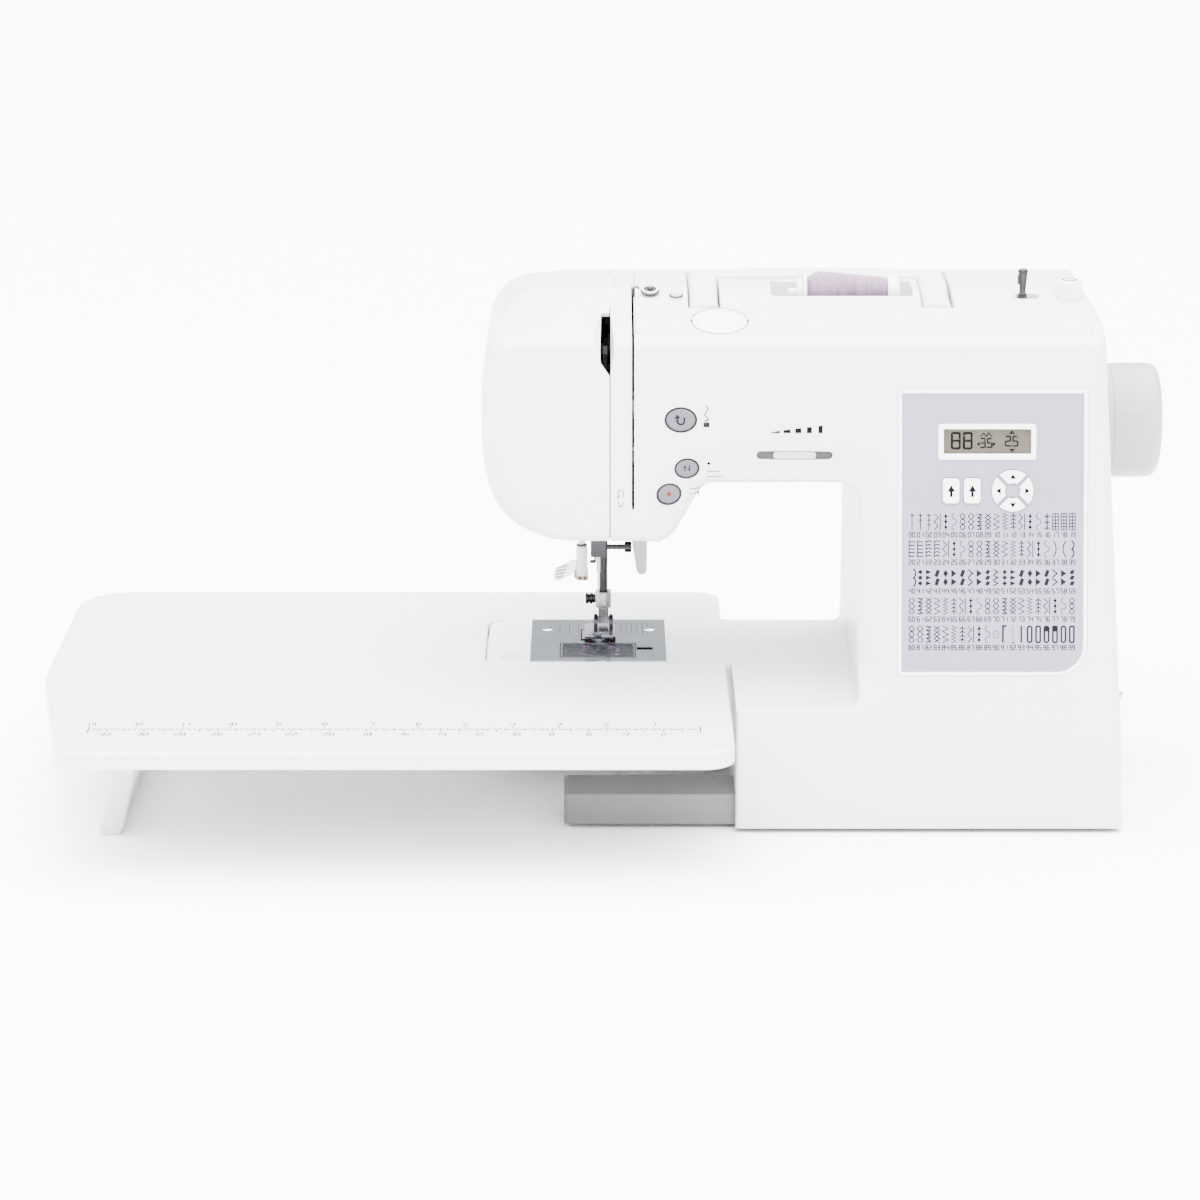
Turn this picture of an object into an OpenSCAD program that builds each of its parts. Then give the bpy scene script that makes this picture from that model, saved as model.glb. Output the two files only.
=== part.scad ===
// Computer-controlled sewing machine with a free arm and a fitted extension table.
// Inside each module X = 0 is the needle line, Y = 0 the front of the base and Z = 0 the
// surface it stands on; at_machine() then centres the whole object over the origin.

/* [Overall] */
// Height of the sewing bed above the standing surface
bed_h = 72; // [62:1:86]
// Height of the top of the arm
body_h = 285; // [265:1:320]
// Front to back depth of the base
body_d = 178; // [166:1:200]
// Needle line to the right side of the base
base_right = 289; // [280:1:330]
// How far the right side leans in at the top
side_draft = 12; // [4:1:14]
// How far the front face leans back at the top edge
front_lean = 46; // [34:1:50]
// Needle line to the left end of the head and the free arm
head_left = 65; // [58:1:72]
// Needle line to the left side of the base block
base_left = 75; // [68:1:90]
// Wall thickness of the covers
wall = 2.4; // [1.6:0.1:3]
// Gap between covers and between a key and its opening
seam = 0.4; // [0.2:0.1:0.8]
// Radial clearance of shafts and pins
running_fit = 0.05; // [0.02:0.01:0.1]

/* [Arm and harp] */
// Height of the underside of the head
head_z = 160; // [152:1:168]
// Height of the underside of the arm
arm_z = 190; // [184:1:200]
// Needle line to the left face of the pillar
pillar_left = 142; // [134:1:156]
// Height where the front face turns into the top slope
slope_z = 266; // [256:1:272]
// Distance from the front where the top becomes level
slope_end = 112; // [100:1:120]
// Join between the front and rear covers
split_y = 118; // [110:1:120]
// Join between the face cover and the front cover
face_x = 5.5; // [5:0.5:8]

/* [Free arm] */
// Front face of the free arm behind the base front
free_arm_front = 84; // [76:1:90]
// Underside height of the free arm
free_arm_z = 22; // [20:1:24]
// Corner radius at the end of the free arm
free_arm_r = 14; // [8:1:20]

/* [Needle drive] */
// Needle position behind the base front
needle_y = 138; // [134:1:142]
// Radius of the needle bar
needle_bar_r = 3; // [2.6:0.1:3.4]
// Throw of the crank; the needle bar moves twice this
crank_throw = 14; // [12:0.5:16]
// Height of the main shaft
shaft_z = 204; // [200:1:214]
// Distance of the main shaft behind the base front
shaft_y = 132; // [126:1:136]
// Radius of the main and lower shafts
shaft_r = 5; // [4:0.5:6]
// Presser bar behind the needle bar
presser_offset = 18; // [16:0.5:20]
// Radius of the presser bar
presser_r = 2.5; // [2:0.1:3]

/* [Hook and bobbin] */
// Outer radius of the rotary hook
hook_r = 19; // [17:0.5:20]
// Radius of the bobbin
bobbin_r = 10.3; // [9:0.1:11]
// Height of the bobbin
bobbin_h = 11.7; // [9:0.1:12]
// Thickness of the needle plate
plate_t = 1.6; // [1:0.1:2.5]

/* [Handwheel and drive] */
// Radius of the handwheel
wheel_r = 32.5; // [26:0.5:36]
// Outer face of the handwheel from the needle line
wheel_face = 318; // [312:1:330]
// Radius of the large belt pulley
drive_pulley_r = 28; // [24:1:30]
// Radius of the motor pulley
motor_pulley_r = 8; // [6:0.5:10]
// Radius of the motor
motor_r = 22; // [18:0.5:24]

/* [Top fittings] */
// Radius of the thread spool at its wide end
spool_r = 12; // [9:0.5:13]
// Length of the thread spool
spool_l = 45; // [36:1:50]
// Radius of the spool pin
spool_pin_r = 2.2; // [1.8:0.1:3]
// Distance between the outer faces of the carrying handle
handle_w = 146; // [140:1:150]
// Radius of the tension dial
dial_r = 15.5; // [12:0.5:17]

/* [Control panel] */
// Width of the control panel
panel_w = 104; // [96:1:108]
// Height of the control panel along the face
panel_l = 157; // [150:1:160]
// How far a key stands out of the panel
key_proud = 1.2; // [0.6:0.1:2]

/* [Extension table] */
// Left edge of the table from the needle line
table_left = 314; // [290:1:340]
// How far the table reaches in front of the base
table_front = 77; // [60:1:90]
// How far the table reaches behind the base
table_back = 61; // [50:1:70]
// Depth of the table's edge
lip_h = 9.5; // [8:0.5:14]
// Thickness of the table top
table_t = 3; // [2:0.1:4]
// Gap around the free arm
table_gap = 0.8; // [0.5:0.1:1.5]
// Width of the folding leg
leg_w = 150; // [120:5:180]

/* [Hidden] */
$fn = 48;
foot_gap = 2.5;                        // base underside above the surface
machine_x = (table_left - wheel_face) / 2;
machine_y = table_front - (table_front + body_d + table_back) / 2;
lean_rate = front_lean / (slope_z - 4 - bed_h);
lean_deg = atan(lean_rate);
edge_r = 10;                           // rounding between the front face and the top slope
slope_y0 = front_lean + edge_r + edge_r * cos(112);
slope_z0 = slope_z - 6 + edge_r * sin(112);
slope_rate = (body_h - slope_z0) / (slope_end - slope_y0);
slope_deg = atan(slope_rate);
needle_x = -1;
presser_x = 2;
presser_y = needle_y + presser_offset;
frame_y = presser_y + 7;               // front of the rear frame plate
frame_t = 8;
lower_shaft_z = 36;
lower_gear_r = 9;
hook_gear_r = 4.5;
hook_x = -1.5;
hook_y = needle_y - 21;
hook_floor = bed_h - 26;
lower_shaft_y = hook_y + lower_gear_r + hook_gear_r + 0.3;
motor_y = 60;
motor_z = 50;
case_r = hook_r - 3 - seam;            // bobbin case inside the hook cup
drive_x = base_right - 40;             // belt plane of the motor
timing_x = pillar_left + 64;           // belt plane of the lower shaft
belt_w = 8;
belt_t = 1.6;
timing_r = 14;
foot_pin_y = presser_y - 4;
foot_pin_z = bed_h + 8;
bar_end_z = foot_pin_z + 8.4;          // lower end of the presser bar
clamp_z = bed_h + 50;                  // underside of the needle clamp
spool_x = 116;                         // left end of the thread spool
spool_y = 118;
spool_z = body_h - 4;
handle_x = 50;
handle_pivot_y = 96;
handle_pivot_z = body_h - 9;
handle_grip_y = 138;
handle_grip_d = 20;
handle_arm = 16;
dial_x = 66;
dial_y = 71;
winder_x = 236;
winder_y = 101;
winder_z = top_z(winder_y - 8) - 7;    // carrier of the winder spindle
stop_x = winder_x + 26;
stop_r = 7.2;
panel_x = pillar_left + 73;            // centre of the control panel
panel_z = bed_h + 94;
table_right = base_left - 3;
table_z = bed_h - table_t;
leg_x = 58 - table_left;               // hinge line of the leg
leg_z = table_z - 8;
leg_t = 13;
leg_y = -4;
leg_splay = 15;                        // how far the foot of the leg stands out
white = [0.95, 0.95, 0.95];
steel = [0.72, 0.73, 0.75];
dark = [0.16, 0.16, 0.17];
lavender = [0.79, 0.79, 0.86];
big = 400;

// ---------- shared shapes ----------

module at_machine() { translate([machine_x, machine_y, 0]) children(); }

// Box from its low corner to its high corner.
module box(a, b) { translate(a) cube([b[0] - a[0], b[1] - a[1], b[2] - a[2]]); }

// Cylinders along X and Y that start at a point.
module rod_x(r, l) { rotate([0, 90, 0]) cylinder(r = r, h = l); }
module rod_y(r, l) { rotate([-90, 0, 0]) cylinder(r = r, h = l); }

// Flat rectangle with four round corners.
module round_rect(x0, y0, x1, y1, r) {
  translate([x0 + r, y0]) square([x1 - x0 - 2 * r, y1 - y0]);
  translate([x0, y0 + r]) square([x1 - x0, y1 - y0 - 2 * r]);
  for (x = [x0 + r, x1 - r], y = [y0 + r, y1 - r]) translate([x, y]) circle(r);
}

// Extrusion of an X-Z outline between two distances from the front.
module plate_y(y0, y1) translate([0, y1, 0]) rotate([90, 0, 0]) linear_extrude(y1 - y0) children();

// Extrusion of a Y-Z outline between two X positions.
module plate_x(x0, x1) translate([x0, 0, 0]) rotate([90, 0, 90]) linear_extrude(x1 - x0) children();

// Front face of the body at a height, and a frame of reference lying on that face.
function face_y(z) = max(0, lean_rate * (z - bed_h));
module on_face(x, z) translate([x, face_y(z), z]) rotate([-lean_deg, 0, 0]) children();

// Height of the top surface and a frame of reference lying on the top slope.
function top_z(y) = min(body_h, slope_z0 + slope_rate * (y - slope_y0));
module on_slope(x, y) translate([x, y, top_z(y)]) rotate([slope_deg, 0, 0]) children();

// Points of an arc about a centre, from one angle to another.
function arc(c, r, a0, a1, n = 6) =
  [for (i = [0:n]) let (a = a0 + (a1 - a0) * i / n) [c[0] + r * cos(a), c[1] + r * sin(a)]];

// Points of a rounded quarter whose squareness is set by its power.
function quarter(c, rx, rz, p, a0, a1, n = 9) =
  [for (i = [0:n]) let (a = a0 + (a1 - a0) * i / n)
    [c[0] + rx * sign(cos(a)) * pow(abs(cos(a)), 2 / p),
     c[1] + rz * sign(sin(a)) * pow(abs(sin(a)), 2 / p)]];

// ---------- body shell ----------

// Front view of head, arm, pillar and base block.
head_mid_z = 224;
right_r = 15;
module body_outline() {
  head_c = [-5, head_mid_z];
  top_right = base_right - side_draft;
  polygon(concat(
    quarter(head_c, head_left - 5, body_h - head_mid_z, 3.8, 90, 180),
    quarter(head_c, head_left - 5, head_mid_z - head_z, 2.9, 184, 270),
    [[33, head_z]],
    [for (i = [1:7]) [35 + 26 * i / 8, head_z + (arm_z - head_z) * (3 - i / 4) * i * i / 64]],
    arc([pillar_left - 11, arm_z - 11], 11, 90, 0, 4),
    [[pillar_left, bed_h], [base_left, bed_h], [base_left, -20],
     [base_right, -20], [base_right, foot_gap]],
    arc([top_right - right_r, body_h - right_r], right_r, 0, 90, 8)));
}

// Side view of the body.
module body_side() {
  polygon(concat([[body_d, -20], [0, -20], [0, bed_h]],
    arc([front_lean + edge_r, slope_z - 6], edge_r, 160, 112, 4),
    [[slope_end, body_h], [body_d - 16, body_h]],
    arc([body_d - 14, body_h - 14], 14, 80, 0, 6)));
}

module body_solid(inset) {
  intersection() {
    plate_y(-1, body_d + 1) offset(delta = -inset) body_outline();
    plate_x(-head_left - 1, base_right + 1) offset(delta = -inset) body_side();
  }
}

module body_shell() {
  difference() {
    body_solid(0);
    body_solid(wall);
    // passage of the needle and presser bars
    box([-34, needle_y - 20, head_z - 8], [32, body_d - 4, head_z + 6]);
    // free arm end of the base block
    box([base_left - 5, free_arm_front - seam, free_arm_z - seam],
        [base_left + wall + 1, body_d + 1, bed_h + 1]);
    box([base_left - 5, foot_y0 - seam, -21], [base_left + wall + 1, foot_y1 + seam, foot_top + seam]);
    box([base_left - 5, foot_y2 - seam, -21], [base_left + wall + 1, foot_y3 + seam, foot_top + seam]);
    // main shaft
    translate([base_right - 30, shaft_y, shaft_z]) rod_x(shaft_r + 2, 60);
    // power inlet
    box([inlet_x0, inlet_y0 - seam, inlet_z0 - seam], [base_right + 5, inlet_y1 + seam, inlet_z1 + seam]);
    box([-head_left - 5, -5, -30], [base_right + 5, body_d + 5, foot_gap]);
  }
}

foot_y0 = 8;
foot_y1 = 42;
foot_y2 = body_d - 38;
foot_y3 = body_d - 8;
foot_top = 20;
foot_left = -20;
inlet_x0 = base_right - 22;
inlet_y0 = 104;
inlet_y1 = 160;
inlet_z0 = 18;
inlet_z1 = 58;

top_x0 = 19.5;
top_x1 = base_right - side_draft - 7;
top_y0 = front_lean + 10;
top_y1 = body_d - 14;

module top_region(grow) {
  box([top_x0 - grow, top_y0 - grow, shaft_z + 20], [top_x1 + grow, top_y1 + grow, big]);
}

// ---------- covers ----------

module front_cover() at_machine() color(white) difference() {
  body_shell();
  box([-head_left - 5, split_y - seam / 2, -30], [big, body_d + 5, big]);
  box([-head_left - 5, -5, head_z - 20], [face_x + seam / 2, body_d, big]);
  top_region(seam / 2);
  // threading slot
  box([17.4, -5, head_z + 18], [18.8, split_y, big]);
  // control panel window
  on_face(panel_x, panel_z)
    box([-panel_w / 2 - seam, -12, -panel_l / 2 - seam], [panel_w / 2 + seam, 8, panel_l / 2 + seam]);
  // buttons and speed slider
  for (b = buttons) on_face(b[0], b[1]) translate([0, 6, 0]) plate_y(-18, 6)
    ellipse(b[2] + seam, b[3] + seam);
  on_face(slider_x, slider_z) box([-slider_l / 2 - 1, -6, -2.6], [slider_l / 2 + 1, 6, 2.6]);
}

module rear_cover() at_machine() color(white) difference() {
  body_shell();
  box([-head_left - 5, -5, -30], [big, split_y + seam / 2, big]);
  box([-head_left - 5, -5, head_z - 20], [face_x + seam / 2, body_d + 5, big]);
  top_region(seam / 2);
}

module face_cover() at_machine() color(white) difference() {
  intersection() {
    body_shell();
    box([-head_left - 5, -5, head_z - 20], [face_x - seam / 2, body_d + 5, big]);
  }
  // take-up lever slot
  box([0, -5, slope_z - 16], [face_x + 1, 78, big]);
  // hook for opening
  box([-head_left - 5, shaft_y - 12, head_z + 20], [-head_left + 1, shaft_y + 12, head_z + 26]);
}

module spool_well(grow) {
  box([spool_x - 20 - grow, spool_y - 16 - grow, spool_z - 15 - grow],
      [spool_x + spool_l + 14 + grow, spool_y + 16 + grow, big]);
}

module handle_well(grow) {
  z0 = handle_pivot_z - 7 - grow;
  for (x = [handle_x - 1, handle_x + handle_w - handle_arm - 1])
    box([x - grow, handle_pivot_y - 8 - grow, z0], [x + handle_arm + 2 + grow, handle_grip_y + 1, big]);
  box([handle_x - 1 - grow, handle_grip_y - 2 - grow, z0],
      [handle_x + handle_w + 1 + grow, handle_grip_y + handle_grip_d + 1 + grow, big]);
}

module top_cover() at_machine() color(white) {
  difference() {
    intersection() {
      body_solid(0);
      box([top_x0, top_y0, shaft_z + 20], [top_x1, top_y1, big]);
      union() {
        difference() { body_solid(-1); body_solid(wall); }
        spool_well(wall);
        handle_well(wall);
        on_slope(dial_x, dial_y) translate([0, 0, -10]) cylinder(r = dial_r + seam + wall, h = 30);
      }
    }
    spool_well(0);
    handle_well(0);
    on_slope(dial_x, dial_y) translate([0, 0, -8]) cylinder(r = dial_r + seam, h = 30);
    // bobbin winder and its stop
    box([winder_x - 4, winder_y - 3.2, body_h - 30], [winder_x + 9, winder_y + 3.2, big]);
    translate([stop_x, winder_y, 0]) cylinder(r = stop_r + 0.1, h = big);
  }
  // pivots of the carrying handle
  for (x = [handle_x - 1.5, handle_x + handle_w - 3.5])
    translate([x, handle_pivot_y, handle_pivot_z]) rod_x(2.5 - running_fit, 5);
}

// ---------- base ----------

module base_tray() at_machine() color(steel) {
  difference() {
    union() {
      box([base_left + wall + seam, wall + seam, foot_gap],
          [base_right - wall - seam - 0.4, body_d - wall - seam, foot_gap + 3]);
      for (y = [[foot_y0, foot_y1], [foot_y2, foot_y3]])
        translate([0, 0, foot_gap]) linear_extrude(foot_top - foot_gap)
          round_rect(foot_left, y[0], base_left + 20, y[1], 4);
    }
    for (p = screw_points) translate([p[0], p[1], 0]) cylinder(r = 3.8, h = foot_gap + 1.8);
    // hollow underside of the two feet
    for (y = [[foot_y0, foot_y1], [foot_y2, foot_y3]])
      box([foot_left + 24, y[0] + 3, -1], [base_left + 10, y[1] - 3, foot_top - 3]);
  }
}

screw_points = [[base_left + 30, 60], [base_left + 30, body_d - 24], [base_left + 100, 20],
  [base_left + 100, body_d - 24], [base_right - 50, 20], [base_right - 50, body_d - 44]];
foot_points = [[base_left + 15, 18], [base_right - 18, 18], [base_left + 15, body_d - 52],
  [base_right - 18, body_d - 18], [foot_left + 12, (foot_y0 + foot_y1) / 2],
  [foot_left + 12, (foot_y2 + foot_y3) / 2]];

module rubber_feet() at_machine() color(dark)
  for (p = foot_points) translate([p[0], p[1], 0]) cylinder(r1 = 7, r2 = 8, h = foot_gap);

module case_screws() at_machine() color(steel)
  for (p = screw_points) translate([p[0], p[1], foot_gap + 0.1]) difference() {
    cylinder(r = 3.4, h = 1.7);
    for (a = [0, 90]) rotate(a) translate([-2, -0.4, -1]) cube([4, 0.8, 1.8]);
  }

// Die-cast skeleton that carries the shafts and bars.
module frame_casting() at_machine() color([0.6, 0.61, 0.63]) difference() {
  union() {
    box([-20, frame_y, arm_z + 8], [268, frame_y + frame_t, body_h - 24]);
    box([-20, frame_y, head_z + 7], [30, frame_y + frame_t, arm_z + 9]);
    box([pillar_left + 10, frame_y, 12], [268, frame_y + frame_t, arm_z + 9]);
    box([-50, frame_y, 27], [pillar_left + 11, frame_y + frame_t, 56]);
    // main shaft brackets
    for (x = [24, 258 - 16]) box([x, shaft_y - 12, shaft_z - 12], [x + 6, frame_y + 1, shaft_z + 12]);
    // needle and presser bar guides
    for (z = [head_z + 7.5, shaft_z + 38])
      box([-7, needle_y - 7, z], [9, frame_y + 1, z + 6]);
    // lower shaft brackets
    for (x = [24, 190]) box([x, lower_shaft_y - 10, 27], [x + 6, frame_y + 1, lower_shaft_z + 10]);
    // hook bearing
    translate([hook_x, hook_y, 39.5]) cylinder(r = hook_gear_r, h = 4);
    box([-34, hook_y - 4, 39.5], [hook_x, hook_y + 4, 43.5]);
    box([-34, hook_y - 4, 39.5], [-28, frame_y + 1, 43.5]);
    // lifter bracket and motor mount
    box([10, frame_y, head_z - 16], [22, frame_y + frame_t, head_z + 8]);
    box([drive_x - 14, motor_y - 30, foot_gap + 3.2], [drive_x - 8, frame_y + 1, motor_z + 28]);
    // take-up lever bracket
    box([9, take_up_y - 6, take_up_z - 6], [13, frame_y + 1, take_up_z + 6]);
    // stands on the base
    for (x = [pillar_left + 12, 230]) box([x, frame_y - 20, foot_gap + 3.1], [x + 20, frame_y + frame_t, 14]);
  }
  translate([-30, shaft_y, shaft_z]) rod_x(shaft_r + running_fit, big);
  translate([-30, lower_shaft_y, lower_shaft_z]) rod_x(shaft_r + running_fit, big);
  translate([needle_x, needle_y, head_z - 10]) cylinder(r = needle_bar_r + running_fit, h = 140);
  translate([presser_x, presser_y, head_z - 10]) cylinder(r = presser_r + running_fit, h = 140);
  translate([hook_x, hook_y, 30]) cylinder(r = 3 + running_fit, h = 20);
  translate([lifter_x, frame_y - 5, lifter_z]) rod_y(2 + running_fit, 40);
  translate([drive_x - 20, motor_y, motor_z]) rod_x(6, 20);
  translate([0, take_up_y, take_up_z]) rod_x(2 + running_fit, 20);
}
take_up_y = 112;
take_up_z = shaft_z + 34;
lifter_x = 16;
lifter_z = head_z - 9;

module free_arm_cover() at_machine() color(white) difference() {
  translate([0, 0, free_arm_z]) linear_extrude(bed_h - free_arm_z)
    round_rect(-head_left, free_arm_front, base_left + 20, body_d, free_arm_r);
  translate([0, 0, free_arm_z + wall]) linear_extrude(bed_h - free_arm_z - 2 * wall)
    round_rect(-head_left + wall, free_arm_front + wall, base_left + 30, body_d - wall, free_arm_r - wall);
  box([base_left - seam, -5, 0], [big, big, big]);
  // seat of the needle plate and the opening under it
  box([plate_x0 - 0.2, plate_y0 - 0.2, bed_h - plate_t], [plate_x1 + 0.2, plate_y1 + 0.2, big]);
  box([plate_x0 + 2, plate_y0 + 3, bed_h - 10], [plate_x1 - 2, plate_y1 - 3, big]);
}
plate_x0 = -40;
plate_x1 = 38;
plate_y0 = free_arm_front + 5;
plate_y1 = body_d - 2.2;

// ---------- control panel ----------

module ellipse(rx, rz, n = 28) {
  polygon([for (i = [0:n - 1]) [rx * cos(360 * i / n), rz * sin(360 * i / n)]]);
}

// Outline of the panel with one large corner.
module panel_outline(grow) {
  w = panel_w / 2 + grow;
  l = panel_l / 2 + grow;
  polygon(concat([[-w, -l]], arc([w - 17, -l + 17], 17, -90, 0), [[w, l], [-w, l]]));
}

lcd_x = -3;
lcd_z = 50;
lcd_w = 48;
lcd_h = 13.5;
key_w = 9.4;
key_h = 14;
key_z = 23;
tens_x = -22.9;
units_x = -11.3;
ring_x = 10.8;
ring_r = 11.4;
ring_hub = 4.2;

// Quarter of the arrow ring whose middle points along an angle.
module ring_sector(a, grow) {
  gap = 0.9 - grow * 1.4;
  rotate(a) difference() {
    circle(ring_r + grow);
    circle(ring_hub - grow);
    polygon([[gap, 0], [gap + 20, 20], [-20, 20], [-20, -20], [gap + 20, -20]]);
  }
}

module control_panel() at_machine() color(lavender) on_face(panel_x, panel_z) plate_y(0.2, wall)
  difference() {
    panel_outline(0);
    translate([lcd_x, lcd_z]) square([lcd_w, lcd_h], center = true);
    for (x = [tens_x, units_x]) translate([x, key_z])
      round_rect(-key_w / 2 - seam, -key_h / 2 - seam, key_w / 2 + seam, key_h / 2 + seam, 2);
    for (a = [0, 90, 180, 270]) translate([ring_x, key_z]) ring_sector(a, seam);
  }

module display_window() at_machine() color([0.75, 0.78, 0.76, 0.4]) on_face(panel_x, panel_z)
  plate_y(0.4, wall + 0.6) translate([lcd_x, lcd_z]) square([lcd_w - 0.2, lcd_h - 0.2], center = true);

module display_module() at_machine() color([0.35, 0.36, 0.33]) on_face(panel_x, panel_z)
  plate_y(wall + 0.7, wall + 4) translate([lcd_x, lcd_z]) square([lcd_w + 6, lcd_h + 8], center = true);

module control_board() at_machine() color([0.1, 0.35, 0.2]) on_face(panel_x, panel_z)
  plate_y(wall + 4.1, wall + 5.7) translate([0, 6]) square([panel_w - 10, panel_l - 30], center = true);

module select_key(x) on_face(panel_x, panel_z) {
  plate_y(-key_proud, wall + 0.2) translate([x, key_z])
    round_rect(-key_w / 2, -key_h / 2, key_w / 2, key_h / 2, 1.8);
}
module key_tens() at_machine() color(white) select_key(tens_x);
module key_units() at_machine() color(white) select_key(units_x);

module arrow_key(a) on_face(panel_x, panel_z)
  plate_y(-key_proud, wall + 0.2) translate([ring_x, key_z]) ring_sector(a, 0);
module key_right() at_machine() color(white) arrow_key(0);
module key_up() at_machine() color(white) arrow_key(90);
module key_left() at_machine() color(white) arrow_key(180);
module key_down() at_machine() color(white) arrow_key(270);

// Centre X and Z, half width and half height of each push button.
buttons = [[44.2, 226, 8.2, 6.2], [47.6, arm_z + 9.7, 6.2, 5.2], [37.8, arm_z - 4.1, 6.2, 5.4]];
module push_button(b) on_face(b[0], b[1]) {
  plate_y(-1.4, 3) ellipse(b[2], b[3]);
  plate_y(3, 4.4) ellipse(b[2] + 1.2, b[3] + 1.2);
  translate([0, 4.4, 0]) rod_y(2, 5);
}
module reverse_button() at_machine() color(lavender) push_button(buttons[0]);
module needle_button() at_machine() color(lavender) push_button(buttons[1]);
module start_button() at_machine() color(lavender) push_button(buttons[2]);

slider_x = 106.6;
slider_z = arm_z + 16.6;
slider_l = 41.5;
module speed_slider() at_machine() color(lavender) on_face(slider_x, slider_z) {
  plate_y(-1, 3.2) round_rect(-11.7, -2.1, 11.7, 2.1, 2);
  box([-6, 3.2, -1.6], [6, 7, 1.6]);
}

// ---------- main drive ----------

module handwheel() at_machine() color(white) translate([0, shaft_y, shaft_z]) rotate([0, 90, 0])
  difference() {
    rotate_extrude() polygon(concat([[shaft_r + 0.02, wheel_face - 6], [0, wheel_face - 6], [0, wheel_face]],
      arc([wheel_r - 6, wheel_face - 6], 6, 90, 0, 6),
      [[wheel_r, base_right - 4], [wheel_r - wall, base_right - 4], [wheel_r - wall, wheel_face - 6],
       [shaft_r + 6, wheel_face - 6], [shaft_r + 6, base_right - 2], [shaft_r + 0.02, base_right - 2]]));
  }

module main_shaft() at_machine() color(steel) translate([0, shaft_y, shaft_z]) {
  translate([12, 0, 0]) rod_x(shaft_r, wheel_face - 6.1 - 12);
  // crank disc and its pin, set at the top of the stroke
  translate([12, 0, 0]) rod_x(crank_throw + 4, 8);
  translate([6, 0, crank_throw]) rod_x(2.5, 6.5);
  translate([timing_x, 0, 0]) rod_x(timing_r, belt_w);
  translate([drive_x, 0, 0]) rod_x(drive_pulley_r, belt_w);
}

module lower_shaft() at_machine() color(steel) translate([0, lower_shaft_y, lower_shaft_z]) {
  translate([hook_x - 6, 0, 0]) rod_x(shaft_r, timing_x + belt_w + 6 - hook_x);
  translate([hook_x - 4, 0, 0]) rod_x(lower_gear_r, 8);
  translate([timing_x, 0, 0]) rod_x(timing_r, belt_w);
}

module belt(r1, r2, x, a, b) {
  plate_x(x + 0.3, x + belt_w - 0.3) difference() {
    hull() { translate(a) circle(r1 + seam + belt_t); translate(b) circle(r2 + seam + belt_t); }
    hull() { translate(a) circle(r1 + seam); translate(b) circle(r2 + seam); }
  }
}

module drive_belts() at_machine() color(dark) {
  belt(drive_pulley_r, motor_pulley_r, drive_x, [shaft_y, shaft_z], [motor_y, motor_z]);
  belt(timing_r, timing_r, timing_x, [shaft_y, shaft_z], [lower_shaft_y, lower_shaft_z]);
}

module drive_motor() at_machine() color([0.3, 0.31, 0.33]) translate([0, motor_y, motor_z]) {
  translate([drive_x - 72, 0, 0]) rod_x(motor_r, 57.8);
  translate([drive_x - 14.3, 0, 0]) rod_x(5.9, 6);
}

module motor_pulley() at_machine() color(steel) translate([drive_x - 8, motor_y, motor_z]) {
  rod_x(2.5, 18);
  translate([8, 0, 0]) rod_x(motor_pulley_r, belt_w);
}

// ---------- hook and bobbin ----------

module rotary_hook() at_machine() color(steel) translate([hook_x, hook_y, 0]) difference() {
  union() {
    translate([0, 0, lower_shaft_z - 5]) cylinder(r = 3, h = hook_floor - lower_shaft_z + 6);
    translate([0, 0, lower_shaft_z - 3]) cylinder(r = hook_gear_r, h = 6);
    translate([0, 0, hook_floor]) cylinder(r = hook_r, h = 14);
  }
  translate([0, 0, hook_floor + 2]) cylinder(r = hook_r - 3, h = 20);
  // mouth that catches the thread
  rotate(40) box([hook_r - 5, -4, hook_floor + 7], [hook_r + 2, 4, hook_floor + 20]);
}

module bobbin_case() at_machine() color(dark) translate([hook_x, hook_y, 0]) difference() {
  translate([0, 0, hook_floor + 2.3]) cylinder(r = case_r, h = 14.2);
  translate([0, 0, hook_floor + 4]) cylinder(r = bobbin_r + 0.9, h = 20);
  rotate(-120) box([bobbin_r - 1, -2, hook_floor + 8], [hook_r + 2, 2, hook_floor + 20]);
}

module bobbin() at_machine() color([0.8, 0.6, 0.75]) translate([hook_x, hook_y, hook_floor + 4.3])
  difference() {
    union() {
      cylinder(r = bobbin_r, h = 1);
      cylinder(r = bobbin_r - 1.5, h = bobbin_h);
      translate([0, 0, bobbin_h - 1]) cylinder(r = bobbin_r, h = 1);
    }
    translate([0, 0, -1]) cylinder(r = 3, h = 20);
  }

// ---------- top fittings ----------

module carry_handle() at_machine() color(white) difference() {
  union() {
    for (x = [handle_x, handle_x + handle_w - handle_arm]) plate_x(x, x + handle_arm)
      polygon(concat(arc([handle_pivot_y, handle_pivot_z], 6, 220, 120),
        [[handle_grip_y, handle_pivot_z + 10.5], [handle_grip_y + handle_grip_d, handle_pivot_z + 10.5],
         [handle_grip_y + handle_grip_d, handle_pivot_z - 4], [handle_pivot_y, handle_pivot_z - 6]]));
    plate_x(handle_x, handle_x + handle_w)
      polygon(concat(arc([handle_grip_y + 5, handle_pivot_z + 7.5], 5, 180, 90, 4),
        arc([handle_grip_y + handle_grip_d - 5, handle_pivot_z + 7.5], 5, 90, 0, 4),
        [[handle_grip_y + handle_grip_d, handle_pivot_z - 4], [handle_grip_y, handle_pivot_z - 4]]));
  }
  for (x = [handle_x - 1, handle_x + handle_w - 4])
    translate([x, handle_pivot_y, handle_pivot_z]) rod_x(2.5, 5);
}

module spool_pin() at_machine() color(white) translate([0, spool_y, spool_z]) {
  translate([spool_x - 10, 0, 0]) rod_x(spool_pin_r, spool_l + 10 + 14);
  translate([spool_x + spool_l + 0.5, 0, 0]) rod_x(9.5, 7);
}

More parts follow.
